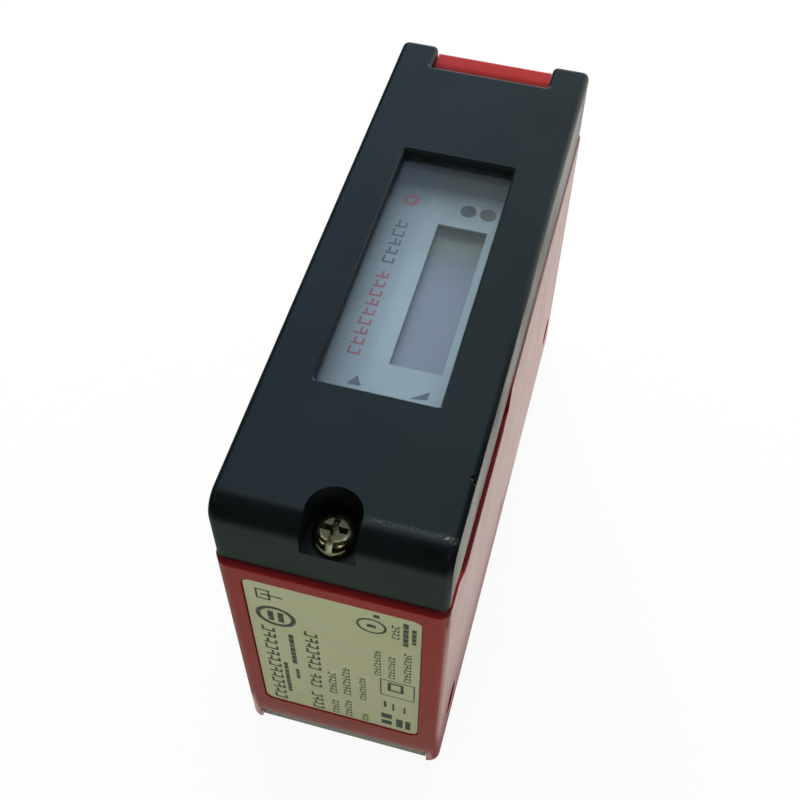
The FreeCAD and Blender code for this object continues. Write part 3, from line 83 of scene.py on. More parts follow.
class Body(Enum):
    """The moving bodies that new pieces ride on."""

    BASE = "base"
    SCREW = "screw"
    KEY_UP = "key_up"
    KEY_DOWN = "key_down"
    KEY_ESCAPE = "key_escape"
    KEY_ENTER = "key_enter"


class Axis(Enum):
    """The axes that printed faces look along."""

    ALONG = 1
    UP = 2


class NodeTree:
    """Draws the nodes of a material or of the sky."""

    def __init__(self, owner: bpy.types.Material | bpy.types.World, end: str) -> None:
        """Takes over the owner's nodes.

        Args:
            owner: The material or the world.
            end: Name of the node that its shader goes to.
        """
        owner.use_nodes = True
        self.tree = owner.node_tree
        self.end = self.tree.nodes[end].inputs["Surface"]

    def add(self, kind: str, filled: Filled | None = None, **settings: object) -> bpy.types.Node:
        """Adds a node, sets its options and fills its inputs.

        Args:
            kind: Blender's name of the node type.
            filled: What goes into the inputs, by number or name.
            settings: Options of the node, by name.

        Returns:
            The new node.
        """
        made = self.tree.nodes.new(kind)
        for key, setting in settings.items():
            setattr(made, key, setting)
        for key, value in (filled or {}).items():
            self.put(made.inputs[key], value)
        return made

    def put(self, socket: Socket, value: Value | Triple | Colour) -> None:
        """Links a socket to another, or sets it to a plain value.

        Args:
            socket: The input to fill.
            value: An output socket, a number, a place or a colour.
        """
        if isinstance(value, Socket):
            self.tree.links.new(value, socket)
        else:
            socket.default_value = value

    def math(self, operation: str, first: Value, *others: Value) -> Socket:
        """Works out one operation on numbers, taken in turn.

        Args:
            operation: Blender's name of the operation.
            first: First number.
            others: The numbers after it, where the operation has any.

        Returns:
            The result.
        """
        for other in others or (0.0,):
            first = self.add("ShaderNodeMath", {0: first, 1: other}, operation=operation).outputs[0]
        return first

    def rays(self, *kinds: str) -> Socket:
        """Tells whether a ray is of one of the kinds, which Blender names."""
        path = self.add("ShaderNodeLightPath")
        return self.math("MAXIMUM", *(path.outputs[f"Is {kind} Ray"] for kind in kinds))

    def show(self, share: Socket, first: bpy.types.Node, second: bpy.types.Node) -> None:
        """Shows a blend of two shaders; the share is that of the second."""
        both = self.add("ShaderNodeMixShader", {0: share, 1: first.outputs[0], 2: second.outputs[0]})
        self.put(self.end, both.outputs[0])


class NodeSketch(NodeTree):
    """Draws the nodes of one material; places are in millimetres of the part's own frame."""

    def __init__(self, name: str) -> None:
        """Starts a material with a Principled shader and its place in millimetres.

        Args:
            name: The material's name.
        """
        self.material = bpy.data.materials.new(name)
        super().__init__(self.material, "Material Output")
        self.shader = self.tree.nodes["Principled BSDF"]
        place = self.add("ShaderNodeTexCoord").outputs["Object"]
        scaled = self.add("ShaderNodeVectorMath", {0: place, "Scale": 1 / MM}, operation="SCALE")
        self.place = scaled.outputs[0]
        self.x, self.y, self.z = self.add("ShaderNodeSeparateXYZ", {0: self.place}).outputs

    def rise(self, value: Value, start: float, end: float, low: float = 0.0, high: float = 1.0) -> Socket:
        """Goes smoothly from low to high while a value goes from start to end.

        Args:
            value: The value that is followed.
            start: Where the rise starts.
            end: Where it ends, which may be below start.
            low: The result before the start.
            high: The result past the end.

        Returns:
            The smooth step.
        """
        if end < start:
            start, end, low, high = end, start, high, low
        filled = {"Value": value, "From Min": start, "From Max": end, "To Min": low, "To Max": high}
        return self.add("ShaderNodeMapRange", filled, interpolation_type="SMOOTHSTEP").outputs[0]

    def within(self, *rises: tuple[float | Socket, ...]) -> Socket:
        """Share of a place that lies inside several rises at once: their product."""
        return self.math("MULTIPLY", *(self.rise(*each) for each in rises))

    def off(self, place: Socket, middle: float = 0.0) -> Socket:
        """Distance from a middle, on one axis."""
        return self.math("ABSOLUTE", self.math("SUBTRACT", place, middle))

    def gap(self, place: Socket, reach: float) -> Socket:
        """Distance left to the nearer of two planes that lie a reach to each side of the middle."""
        return self.math("SUBTRACT", reach, self.off(place))

    def noise(self, per_mm: float, detail: float = 2.0, stretch: Triple = (1.0, 1.0, 1.0)) -> Socket:
        """Even noise around one half: features in a millimetre, finer layers and factors on the axes."""
        place = self.add("ShaderNodeVectorMath", {0: self.place, 1: stretch}, operation="MULTIPLY").outputs[0]
        return self.add("ShaderNodeTexNoise", {"Vector": place, "Scale": per_mm, "Detail": detail}).outputs[0]

    def patches(self, per_mm: float, detail: float, *steps: float) -> Socket:
        """Noise sharpened to patches: the steps are those of a rise."""
        return self.rise(self.noise(per_mm, detail), *steps)

    def away(self, spot: Triple) -> Socket:
        """Distance from a spot, in millimetres."""
        made = self.add("ShaderNodeVectorMath", {0: self.place, 1: spot}, operation="DISTANCE")
        return made.outputs["Value"]

    def mix(self, share: Value, first: Colour | Socket, second: Colour | Socket) -> Socket:
        """Blends two colours; the share is that of the second."""
        return self.add("ShaderNodeMix", {0: share, 6: first, 7: second}, data_type="RGBA").outputs[2]

    def dim(self, colour: Socket, share: Socket) -> Socket:
        """Scales a colour to a share of it."""
        return self.add("ShaderNodeVectorMath", {0: colour, "Scale": share}, operation="SCALE").outputs[0]

    def bump(self, height: Socket, depth: float, under: Socket | None = None) -> Socket:
        """Tilts the normal, or one already tilted, as a height of 0 to 1 and a depth in millimetres would."""
        tilted = {} if under is None else {"Normal": under}
        return self.add("ShaderNodeBump", {"Distance": depth * MM, "Height": height, **tilted}).outputs[0]

    def dress(self, **sockets: Value | Colour) -> None:
        """Fills the shader's sockets, named with an underscore for each space."""
        for name, value in sockets.items():
            self.put(self.shader.inputs[name.replace("_", " ")], value)

    def let_lamps_through(self, tint: Colour) -> None:
        """Lets lamp light and soft bounces pass a clear pane straight, in a tint."""
        clear = self.add("ShaderNodeBsdfTransparent", {"Color": tint})
        self.show(self.rays("Shadow", "Diffuse"), self.shader, clear)


@dataclass(frozen=True)
class Finish(ABC):
    """What a node or a new piece is finished in."""

    name: str

    @abstractmethod
    def draw(self, sketch: NodeSketch) -> None:
        """Draws the finish into a new material's nodes."""

    def make(self) -> bpy.types.Material:
        """Starts the material and draws the finish into it.

        Returns:
            The finished material.
        """
        sketch = NodeSketch(self.name)
        self.draw(sketch)
        return sketch.material


@dataclass(frozen=True)
class CastPaint(Finish):
    """Semi-gloss paint with a fine orange peel on a die-cast block, chipped at its edges."""

    name: str = "cast_paint"
    deep: Colour = srgb(162, 28, 23)
    bright: Colour = srgb(171, 30, 25)
    casting: Colour = srgb(92, 74, 72)
    # Dark red of the painted shade in the rebates, below them and at the near seam, and of the smudge.
    shade_and_smudge_red: Colour = srgb(112, 20, 18)
    dusty: Colour = srgb(132, 104, 99)
    half_width: float = 15.2
    half_length: float = 45.0
    seam: float = 52.0
    rebate_half: Pair = (2.6, 2.2)
    # Where the band of painted shade below the rebates starts and ends along the side.
    shade_band_near: Pair = (-36.5, -34.5)
    shade_band_far: Pair = (-11.5, -14.0)
    dust_near: Pair = (-9.3, -6.0)
    smudge: Triple = (15.2, -1.7, 7.7)

    def edge_gap(self, sketch: NodeSketch) -> Socket:
        """Distance to the nearest outer edge: for each pair of planes, the greater gap; then the least.

        Args:
            sketch: The material's nodes.

        Returns:
            The distance in millimetres.
        """
        side = sketch.gap(sketch.x, self.half_width)
        end = sketch.gap(sketch.y, self.half_length)
        flat = sketch.math("MINIMUM", sketch.off(sketch.z), sketch.off(sketch.z, self.seam))
        pairs = ((side, end), (side, flat), (end, flat))
        return sketch.math("MINIMUM", *(sketch.math("MAXIMUM", *pair) for pair in pairs))

    def rebate(self, sketch: NodeSketch) -> Socket:
        """Where the side rebates lie: below the side faces, close under the seam and clear of the ends; the
        paint there is darkened as painted shade.

        Args:
            sketch: The material's nodes.

        Returns:
            The share of rebate, which gets painted shade.
        """
        return sketch.within(
            (sketch.off(sketch.x), self.half_width - 0.2, self.half_width - 0.4),
            (sketch.off(sketch.z, self.seam - 2.0), *self.rebate_half),
            (sketch.off(sketch.y), self.half_length - 0.4, self.half_length - 0.8),
        )

    def painted_band(self, sketch: NodeSketch) -> Socket:
        """Painted shade: a band of the side faces just below the rebates, made darker and rougher.

        Args:
            sketch: The material's nodes.

        Returns:
            The share of painted shade.
        """
        return sketch.within(
            (sketch.z, self.seam - 6.2, self.seam - 4.2, 0.0, 0.8),
            (sketch.z, self.seam - 3.6, self.seam - 3.8),
            (sketch.y, *self.shade_band_near),
            (sketch.y, *self.shade_band_far),
        )

    def seam_edge(self, sketch: NodeSketch) -> Socket:
        """The near face's top edge, which falls back softly towards the seam and is painted darker there as
        painted shade.

        Args:
            sketch: The material's nodes.

        Returns:
            The share of fall and of painted shade, which rises to 1 at the seam.
        """
        return sketch.within(
            (sketch.z, self.seam - 1.5, self.seam - 0.2),
            (sketch.y, 1.2 - self.half_length, 0.8 - self.half_length),
        )

    def dust(self, sketch: NodeSketch) -> Socket:
        """Dust that has settled in the seam: on the side faces' top edges, past the rebates.

        Args:
            sketch: The material's nodes.

        Returns:
            The share of dust.
        """
        return sketch.within(
            (sketch.z, self.seam - 1.0, self.seam - 0.5, 0.0, 0.8),
            (sketch.y, *self.dust_near),
            (sketch.off(sketch.x), self.half_width - 1.0, self.half_width - 0.5),
        )

    def draw(self, sketch: NodeSketch) -> None:
        """Mixes the paint.

        Args:
            sketch: The material's nodes.
        """
        paint = sketch.mix(sketch.patches(0.06, 2, 0.3, 0.7), self.deep, self.bright)
        near_edge = sketch.rise(self.edge_gap(sketch), 0.55, 0.1)
        chips = sketch.math("MULTIPLY", near_edge, sketch.patches(0.9, 4, 0.66, 0.7))
        smudge = sketch.rise(sketch.away(self.smudge), 2.6, 0.4, 0.0, 0.55)
        # Painted shade in the rebates and in the band below them, together with the real smudge: darker and
        # rougher paint.
        shade_and_smudge = sketch.math("MAXIMUM", self.rebate(sketch), self.painted_band(sketch), smudge)
        worn = sketch.mix(self.dust(sketch), sketch.mix(chips, paint, self.casting), self.dusty)
        # Painted shade: the near face darkens towards the seam, beside the bump that rounds its edge.
        fall = self.seam_edge(sketch)
        shaded = sketch.mix(sketch.math("MULTIPLY", fall, 0.9), worn, self.shade_and_smudge_red)
        colour = sketch.mix(shade_and_smudge, shaded, self.shade_and_smudge_red)
        peel = sketch.bump(sketch.noise(0.9, 1), 0.002)
        normal = sketch.bump(fall, -0.5, sketch.bump(chips, -0.03, peel))
        gloss = sketch.patches(0.12, 3, 0.3, 0.7, 0.22, 0.25)
        rough = sketch.math("ADD", gloss, sketch.math("MULTIPLY", shade_and_smudge, 0.4))
        sketch.dress(Base_Color=colour, Roughness=rough, Normal=normal)


@dataclass(frozen=True)
class MouldedCover(Finish):
    """Charcoal moulded plastic with a fine spark grain, rubbed pale on its near top rounding."""

    name: str = "moulded_cover"
    body: Colour = srgb(18, 27, 29)
    dusty: Colour = srgb(23, 32, 35)
    rubbed: Colour = srgb(168, 174, 170)
    # Near-black of the painted shade inside the nicks.
    nick_shade: Colour = srgb(6, 9, 9)
    # Paler colour of the window opening's walls: painted light.
    matt: Colour = srgb(34, 43, 45)
    rub_row: float = -41.2
    rub_height: float = 63.2
    rub_from: Pair = (3.0, 5.0)
    flecks_from: Pair = (12.8, 13.4)
    nicks: tuple[Triple, ...] = ((14.4, -32.5, 63.85), (14.75, -32.85, 63.5))
    well: Triple = (8.4, -23.85, 20.35)
    rim: float = 63.9

    def walls(self, sketch: NodeSketch) -> Socket:
        """The walls of the window opening, which are matt and painted paler than the body as painted light.

        Args:
            sketch: The material's nodes.

        Returns:
            The share of wall.
        """
        side, near, far = self.well
        return sketch.within(
            (sketch.off(sketch.x), side, side - 0.1),
            (sketch.y, near, near + 0.1),
            (sketch.y, far, far - 0.1),
            (sketch.z, self.rim, self.rim - 0.15),
        )

    def rubbing(self, sketch: NodeSketch) -> Socket:
        """Pale rub: a faint band along the rounding, broken by noise, and strong only at its right end.

        Args:
            sketch: The material's nodes.

        Returns:
            The share of rubbed surface.
        """
        band = sketch.within(
            (sketch.off(sketch.y, self.rub_row), 0.62, 0.1),
            (sketch.z, self.rub_height, self.rub_height + 0.4),
            (sketch.x, *self.rub_from),
        )
        grit = sketch.patches(3.0, 5, 0.42, 0.7, 0.03, 0.13)
        flecks = sketch.patches(2.6, 5, 0.5, 0.66, 0.0, 0.7)
        end = sketch.math("MULTIPLY", flecks, sketch.rise(sketch.x, *self.flecks_from))
        return sketch.math("MULTIPLY", band, sketch.math("MAXIMUM", grit, end))

    def draw(self, sketch: NodeSketch) -> None:
        """Mixes the plastic.

        Args:
            sketch: The material's nodes.
        """
        plastic = sketch.mix(sketch.patches(0.05, 4, 0.35, 0.7), self.body, self.dusty)
        plastic = sketch.mix(sketch.patches(1.9, 2, 0.74, 0.8, 0.0, 0.08), plastic, self.rubbed)
        # The nicks are bumped in and painted near-black as painted shade.
        dent = sketch.rise(sketch.math("MINIMUM", *(sketch.away(nick) for nick in self.nicks)), 0.36, 0.16)
        plastic = sketch.mix(dent, plastic, self.nick_shade)
        plastic = sketch.mix(self.rubbing(sketch), plastic, self.rubbed)
        # Painted light: the opening's walls get a paler colour than the body.
        wall = self.walls(sketch)
        colour = sketch.mix(wall, plastic, self.matt)
        normal = sketch.bump(dent, -0.25, sketch.bump(sketch.noise(4.5), 0.005))
        gloss = sketch.patches(0.08, 5, 0.3, 0.7, 0.27, 0.36)
        rough = sketch.math("ADD", gloss, sketch.math("MULTIPLY", wall, 0.6))
        sketch.dress(Base_Color=colour, Roughness=rough, Normal=normal, Specular_IOR_Level=0.45)


@dataclass(frozen=True)
class ClearPane(Finish):
    """A clear pane with a slight haze, fine dust and hairline scratches."""

    tint: Colour
    passing: Colour
    haze: float
    index: float
    gloss: float
    ground: Colour | None = None
    reach: Pair = (0.0, 0.0)

    def ground_edge(self, sketch: NodeSketch) -> Socket:
        """Where the pane's edges are ground, by the least distance to its four edges."""
        gaps = (sketch.gap(sketch.x, self.reach[0]), sketch.gap(sketch.y, self.reach[1]))
        return sketch.rise(sketch.math("MINIMUM", *gaps), 0.35, 0.15)

    def draw(self, sketch: NodeSketch) -> None:
        """Mixes the pane.

        Args:
            sketch: The material's nodes.
        """
        film = sketch.patches(0.12, 4, 0.35, 0.7, 0.03, 0.09)
        scratch = sketch.rise(sketch.noise(0.7, 3, (1.0, 0.06, 1.0)), 0.68, 0.72, 0.0, 0.2)
        rough = sketch.math("ADD", film, scratch)
        sketch.dress(Base_Color=self.tint, Roughness=rough, Normal=sketch.bump(sketch.noise(0.3), 0.004))
        if self.ground is not None:
            share = self.ground_edge(sketch)
            sketch.dress(Base_Color=sketch.mix(share, self.tint, self.ground))
            sketch.dress(Roughness=sketch.math("ADD", rough, sketch.math("MULTIPLY", share, 0.5)))
        sketch.dress(Transmission_Weight=1.0 - self.haze, IOR=self.index, Specular_IOR_Level=self.gloss)
        sketch.let_lamps_through(self.passing)


@dataclass(frozen=True)
class Film(Finish):
    """A printed film: even colour with a soft mottle and a fine surface grain."""

    pale: Colour
    dark: Colour
    rough: Pair
    metal: float = 0.0
    grain: float = 6.0
    relief: float = 0.003
    painted_shade_along: tuple[Triple, ...] = ()
    painted_shade_across: tuple[Triple, ...] = ()

    def draw(self, sketch: NodeSketch) -> None:
        """Mixes the film; each painted shade goes from full colour at its start to a share of it at its end.

        Args:
            sketch: The material's nodes.
        """
        mottle = sketch.patches(0.1, 4, 0.3, 0.7, 0.0, 0.6)
        fine = sketch.patches(self.grain, 2, 0.3, 0.7, 0.0, 0.35)
        colour = sketch.mix(sketch.math("MAXIMUM", mottle, fine), self.pale, self.dark)
        for place, fades in ((sketch.y, self.painted_shade_along), (sketch.x, self.painted_shade_across)):
            for start, end, left in fades:
                colour = sketch.dim(colour, sketch.rise(place, start, end, 1.0, left))
        rough = sketch.patches(0.3, 3, 0.3, 0.7, *self.rough)
        normal = sketch.bump(sketch.noise(self.grain), self.relief)
        sketch.dress(Base_Color=colour, Roughness=rough, Normal=normal, Metallic=self.metal)


@dataclass(frozen=True)
class DisplayFace(Finish):
    """The lavender face of the display behind its polished cover: a faint dot grid, with a painted olive
    reflection and painted shade at the far end.
    """

    name: str = "display_face"
    face: Colour = srgb(162, 166, 184)
    between: Colour = srgb(148, 152, 170)
    # Olive of the painted reflection and where it runs; the fade is painted shade towards the far end.
    olive_reflection: Colour = srgb(150, 154, 139)
    painted_band: Pair = (2.0, 7.5)
    fade: Quad = (-4.0, 7.0, 1.0, 0.69)
    pitch: float = 0.25

    def draw(self, sketch: NodeSketch) -> None:
        """Mixes the face: the dot grid is the sine of the place on both axes.

        Args:
            sketch: The material's nodes.
        """
        turns = (sketch.math("MULTIPLY", place, 2 * np.pi / self.pitch) for place in (sketch.x, sketch.y))
        waves = (sketch.math("SINE", turn) for turn in turns)
        dots = sketch.rise(sketch.math("MAXIMUM", *waves), 0.75, 1.0, 0.0, 0.6)
        # Painted reflection: olive towards the far end; painted shade: dimmer towards the far end.
        face = sketch.mix(sketch.rise(sketch.y, *self.painted_band), self.face, self.olive_reflection)
        colour = sketch.dim(sketch.mix(dots, face, self.between), sketch.rise(sketch.y, *self.fade))
        rough = sketch.patches(0.2, 3, 0.3, 0.7, 0.12, 0.2)
        sketch.dress(Base_Color=colour, Roughness=rough, Coat_Weight=0.3)


@dataclass(frozen=True)
class Plastic(Finish):
    """Plain moulded plastic or rubber with a grain, small dust and uneven gloss."""

    body: Colour
    dusty: Colour
    rough: Pair

    def draw(self, sketch: NodeSketch) -> None:
        """Mixes the plastic.

        Args:
            sketch: The material's nodes.
        """
        colour = sketch.mix(sketch.patches(0.15, 4, 0.35, 0.75), self.body, self.dusty)
        sketch.dress(Base_Color=colour, Roughness=sketch.patches(0.2, 4, 0.3, 0.7, *self.rough),
                     Normal=sketch.bump(sketch.noise(3.5), 0.006))


@dataclass(frozen=True)
class Metal(Finish):
    """Turned or plated metal: fine tool marks, a tarnish that dulls it in patches, and painted shade round a
    given spot.
    """

    bright: Colour
    tarnish: Colour
    rough: Pair
    marks: Triple = (1.0, 1.0, 1.0)
    # Colour of the painted shade round the given spot, and the spot.
    head_shade: Colour = srgb(132, 124, 92)
    shaded_head_at: Triple | None = None

    def draw(self, sketch: NodeSketch) -> None:
        """Mixes the metal.

        Args:
            sketch: The material's nodes.
        """
        colour = sketch.mix(sketch.patches(0.8, 5, 0.4, 0.72), self.bright, self.tarnish)
        if self.shaded_head_at is not None:
            # Painted shade: the metal darkens within about 2 mm of the spot.
            colour = sketch.mix(sketch.rise(sketch.away(self.shaded_head_at), 2.0, 1.5), colour, self.head_shade)
        rough = sketch.patches(1.6, 4, 0.3, 0.75, *self.rough)
        normal = sketch.bump(sketch.noise(5.0, 2, self.marks), 0.004)
        sketch.dress(Base_Color=colour, Roughness=rough, Normal=normal, Metallic=1.0)


@dataclass(frozen=True)
class BoardLaminate(Finish):
    """Green circuit board: solder mask over copper runs that show as paler stripes."""

    mask: Colour = srgb(20, 78, 48)
    copper: Colour = srgb(36, 108, 66)
    pitch: float = 1.27

    def draw(self, sketch: NodeSketch) -> None:
        """Mixes the laminate: the runs are a sine across the board, cut by patches of noise.

        Args:
            sketch: The material's nodes.
        """
        wave = sketch.math("SINE", sketch.math("MULTIPLY", sketch.x, 2 * np.pi / self.pitch))
        area = sketch.patches(0.16, 1, 0.48, 0.52)
        runs = sketch.math("MULTIPLY", sketch.rise(wave, 0.1, 0.4), area)
        colour = sketch.mix(runs, self.mask, self.copper)
        rough = sketch.patches(0.5, 3, 0.3, 0.7, 0.25, 0.4)
        sketch.dress(Base_Color=colour, Roughness=rough, Normal=sketch.bump(runs, 0.02))


@dataclass(frozen=True)
class LensGlass(Finish):
    """Polished coated lens glass with a faint tint and a little dust."""

    name: str = "lens_glass"
    tint: Colour = srgb(226, 232, 240)
    passing: Colour = srgb(230, 235, 240)

    def draw(self, sketch: NodeSketch) -> None:
        """Mixes the glass.

        Args:
            sketch: The material's nodes.
        """
        sketch.dress(Base_Color=self.tint, Roughness=sketch.patches(1.5, 3, 0.6, 0.75, 0.01, 0.12),
                     Transmission_Weight=0.95, IOR=1.52)
        sketch.let_lamps_through(self.passing)


@dataclass(frozen=True)
class Ink(Finish):
    """Printing ink: slightly uneven and a little glossier than its film."""

    full: Colour
    thin: Colour

    def draw(self, sketch: NodeSketch) -> None:
        """Mixes the ink."""
        colour = sketch.mix(sketch.patches(1.8, 4, 0.45, 0.75), self.full, self.thin)
        sketch.dress(Base_Color=colour, Roughness=sketch.patches(2.5, 2, 0.3, 0.7, 0.35, 0.5))


SCREW_STEEL = (srgb(180, 180, 178), srgb(130, 130, 128), (0.25, 0.4))
SEAL_RUBBER = (srgb(24, 24, 24), srgb(44, 44, 43), (0.6, 0.8))


def give(finish: Finish, *nodes: str) -> None:
    """Puts one finish on nodes of the frame.

    Args:
        finish: The finish that they get.
        nodes: The nodes' names.
    """
    material = finish.make()
    for node in nodes:
        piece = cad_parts[node]
        if not piece.material_slots:
            piece.data.materials.append(material)
        for held in piece.material_slots:
            held.material = material
        log.info("dressed %s in %s", node, material.name)


def new_piece(name: str, points: np.ndarray, faces: list[list[int]], material: bpy.types.Material,
              body: Body) -> bpy.types.Object:
    """Makes a piece from points in millimetres and lets it ride on a body.

    Args:
        name: The piece's name.
        points: Rows of three numbers.
        faces: Vertex numbers of each face.
        material: The finish.
        body: What it rides on.

    Returns:
        The new object.
    """
    mesh = bpy.data.meshes.new(name)
    mesh.from_pydata((points.reshape(-1, 3) * MM).tolist(), [], faces)
    mesh.materials.append(material)
    mesh.update()
    piece = bpy.data.objects.new(name, mesh)
    bpy.context.scene.collection.objects.link(piece)
    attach(piece, body.value)
    log.info("built %s with %d faces", name, len(faces))
    return piece


def tube_faces(rows: int, around: int, closed: bool) -> list[list[int]]:
    """Quads of a grid that is closed around: each row is joined to the next, and the last to the first.

    Args:
        rows: Rows of points.
        around: Points in a row.
        closed: Whether the last row is joined to the first.

    Returns:
        Four vertex numbers for each quad.
    """
    row = np.arange(rows if closed else rows - 1)[:, None]
    column = np.arange(around)[None, :]
    following, beside = (row + 1) % rows, (column + 1) % around
    first, after = row * around, following * around
    corners = (first + column, first + beside, after + beside, after + column)
    return np.stack(np.broadcast_arrays(*corners), -1).reshape(-1, 4).tolist()


def full_turn(count: int) -> np.ndarray:
    """Even angles round a full turn, as one row."""
    return np.linspace(0, 2 * np.pi, count, endpoint=False)[None, :]


def plate_faces(count: int, corners: int) -> list[list[int]]:
    """Faces of flat plates: for each plate a floor, a top and its rim.

    Args:
        count: Number of plates.
        corners: Corners of each plate.

    Returns:
        Vertex numbers of each face.
    """
    first = np.arange(count)[:, None] * 2 * corners
    ring = np.arange(corners)[None, :]
    after = (ring + 1) % corners
    rims = np.stack((first + ring, first + after, first + corners + after, first + corners + ring), -1)
    floors, tops = first + ring[:, ::-1], first + corners + ring
    return floors.tolist() + tops.tolist() + rims.reshape(-1, 4).tolist()


def bars(fields: np.ndarray) -> np.ndarray:
    """Corners of rectangles.

    Args:
        fields: Rows of left, right, lower and upper edge.

    Returns:
        Four corners of each, turning left.
    """
    left, right, lower, upper = fields.T
    across = np.stack((left, right, right, left), -1)
    return np.stack((across, np.stack((lower, lower, upper, upper), -1)), -1)


def frame_bars(left: float, right: float, lower: float, upper: float, line: float) -> np.ndarray:
    """Four bars that draw a rectangle's outline.

    Args:
        left: Left edge.
        right: Right edge.
        lower: Lower edge.
        upper: Upper edge.
        line: Width of the line.

    Returns:
        Rows of left, right, lower and upper edge.
    """
    return np.array((
        (left, right, lower, lower + line),
        (left, right, upper - line, upper),
        (left, left + line, lower + line, upper - line),
        (right - line, right, lower + line, upper - line),
    ))


def ring_plates(across: float, up: float, inner: float, outer: float) -> np.ndarray:
    """Short plates that close a ring: inner and outer radius at each angle, joined to the next angle.

    Args:
        across: Middle of the ring across the label.
        up: Middle of the ring up the label.
        inner: Inner radius.
        outer: Outer radius.

    Returns:
        Four corners of each plate, turning left.
    """
    angle = np.linspace(0, 2 * np.pi, RING_SIDES + 1)
    spoke = np.stack((np.cos(angle), np.sin(angle)), -1)
    middle = np.array((across, up))
    low, high = middle + inner * spoke, middle + outer * spoke
    return np.stack((low[:-1], high[:-1], high[1:], low[1:]), 1)


def word_bars(row: Quad, seed: int) -> np.ndarray:
    """Short blocks in a row, which stand for a line of print: lengths vary and gaps part them.

    Args:
        row: Middle across the film, upper end, lower end and width.
        seed: Picks the lengths.

    Returns:
        Rows of left, right, lower and upper edge.
    """
    middle, top, bottom, width = row
    block, gap = 1.9 * width, 0.28 * width
    count = max(1, round((top - bottom) / block))
    lengths = np.random.default_rng(seed).uniform(0.7, 1.3, count)
    lengths *= (top - bottom - gap * (count - 1)) / lengths.sum()
    starts = top - np.concatenate(((0.0,), np.cumsum(lengths + gap)[:-1]))
    half = np.full(count, width / 2)
    return np.stack((middle - half, middle + half, starts - lengths, starts), -1)


def stroke_bars(row: Quad) -> np.ndarray:
    """A row of plain strokes, which stands for a word: each cell has a stem and two short arms.

    Args:
        row: Middle across the film, upper end, lower end and width.

    Returns:
        Rows of left, right, lower and upper edge.
    """
    middle, top, bottom, width = row
    line = 0.18 * width
    count = round((top - bottom) / width)
    cell = (top - bottom) / count
    low = bottom + cell * np.arange(count)
    left, right = np.full(count, middle - width / 2), np.full(count, middle + width / 2)
    steps = np.arange(count) % 3 * (width - line) / 4
    long_arm, short_arm = low + 0.75 * cell, low + 0.6 * cell
    stems = np.stack((left, right, low, low + line), -1)
    lower_arms = np.stack((left + steps, left + steps + line, low + line, long_arm), -1)
    upper_arms = np.stack((right - line, right, low + line, short_arm), -1)
    return np.concatenate((stems, lower_arms, upper_arms))


def stamp(name: str, outline: np.ndarray, axis: Axis, face: float, thick: float,
          ink: bpy.types.Material, body: Body) -> None:
    """Prints flat marks on a face, sunk in it by a third of their thickness.

    Args:
        name: The piece's name.
        outline: Corners of each mark, on the face's two axes.
        axis: The axis that the face looks along.
        face: Where the face lies on that axis.
        thick: Thickness of the print, below zero where the face looks the other way.
        ink: The ink.
        body: What the print rides on.
    """
    floor = face - thick / 3
    layers = [np.insert(outline, axis.value, level, axis=-1) for level in (floor, floor + thick)]
    new_piece(name, np.stack(layers, 1), plate_faces(*outline.shape[:2]), ink, body)


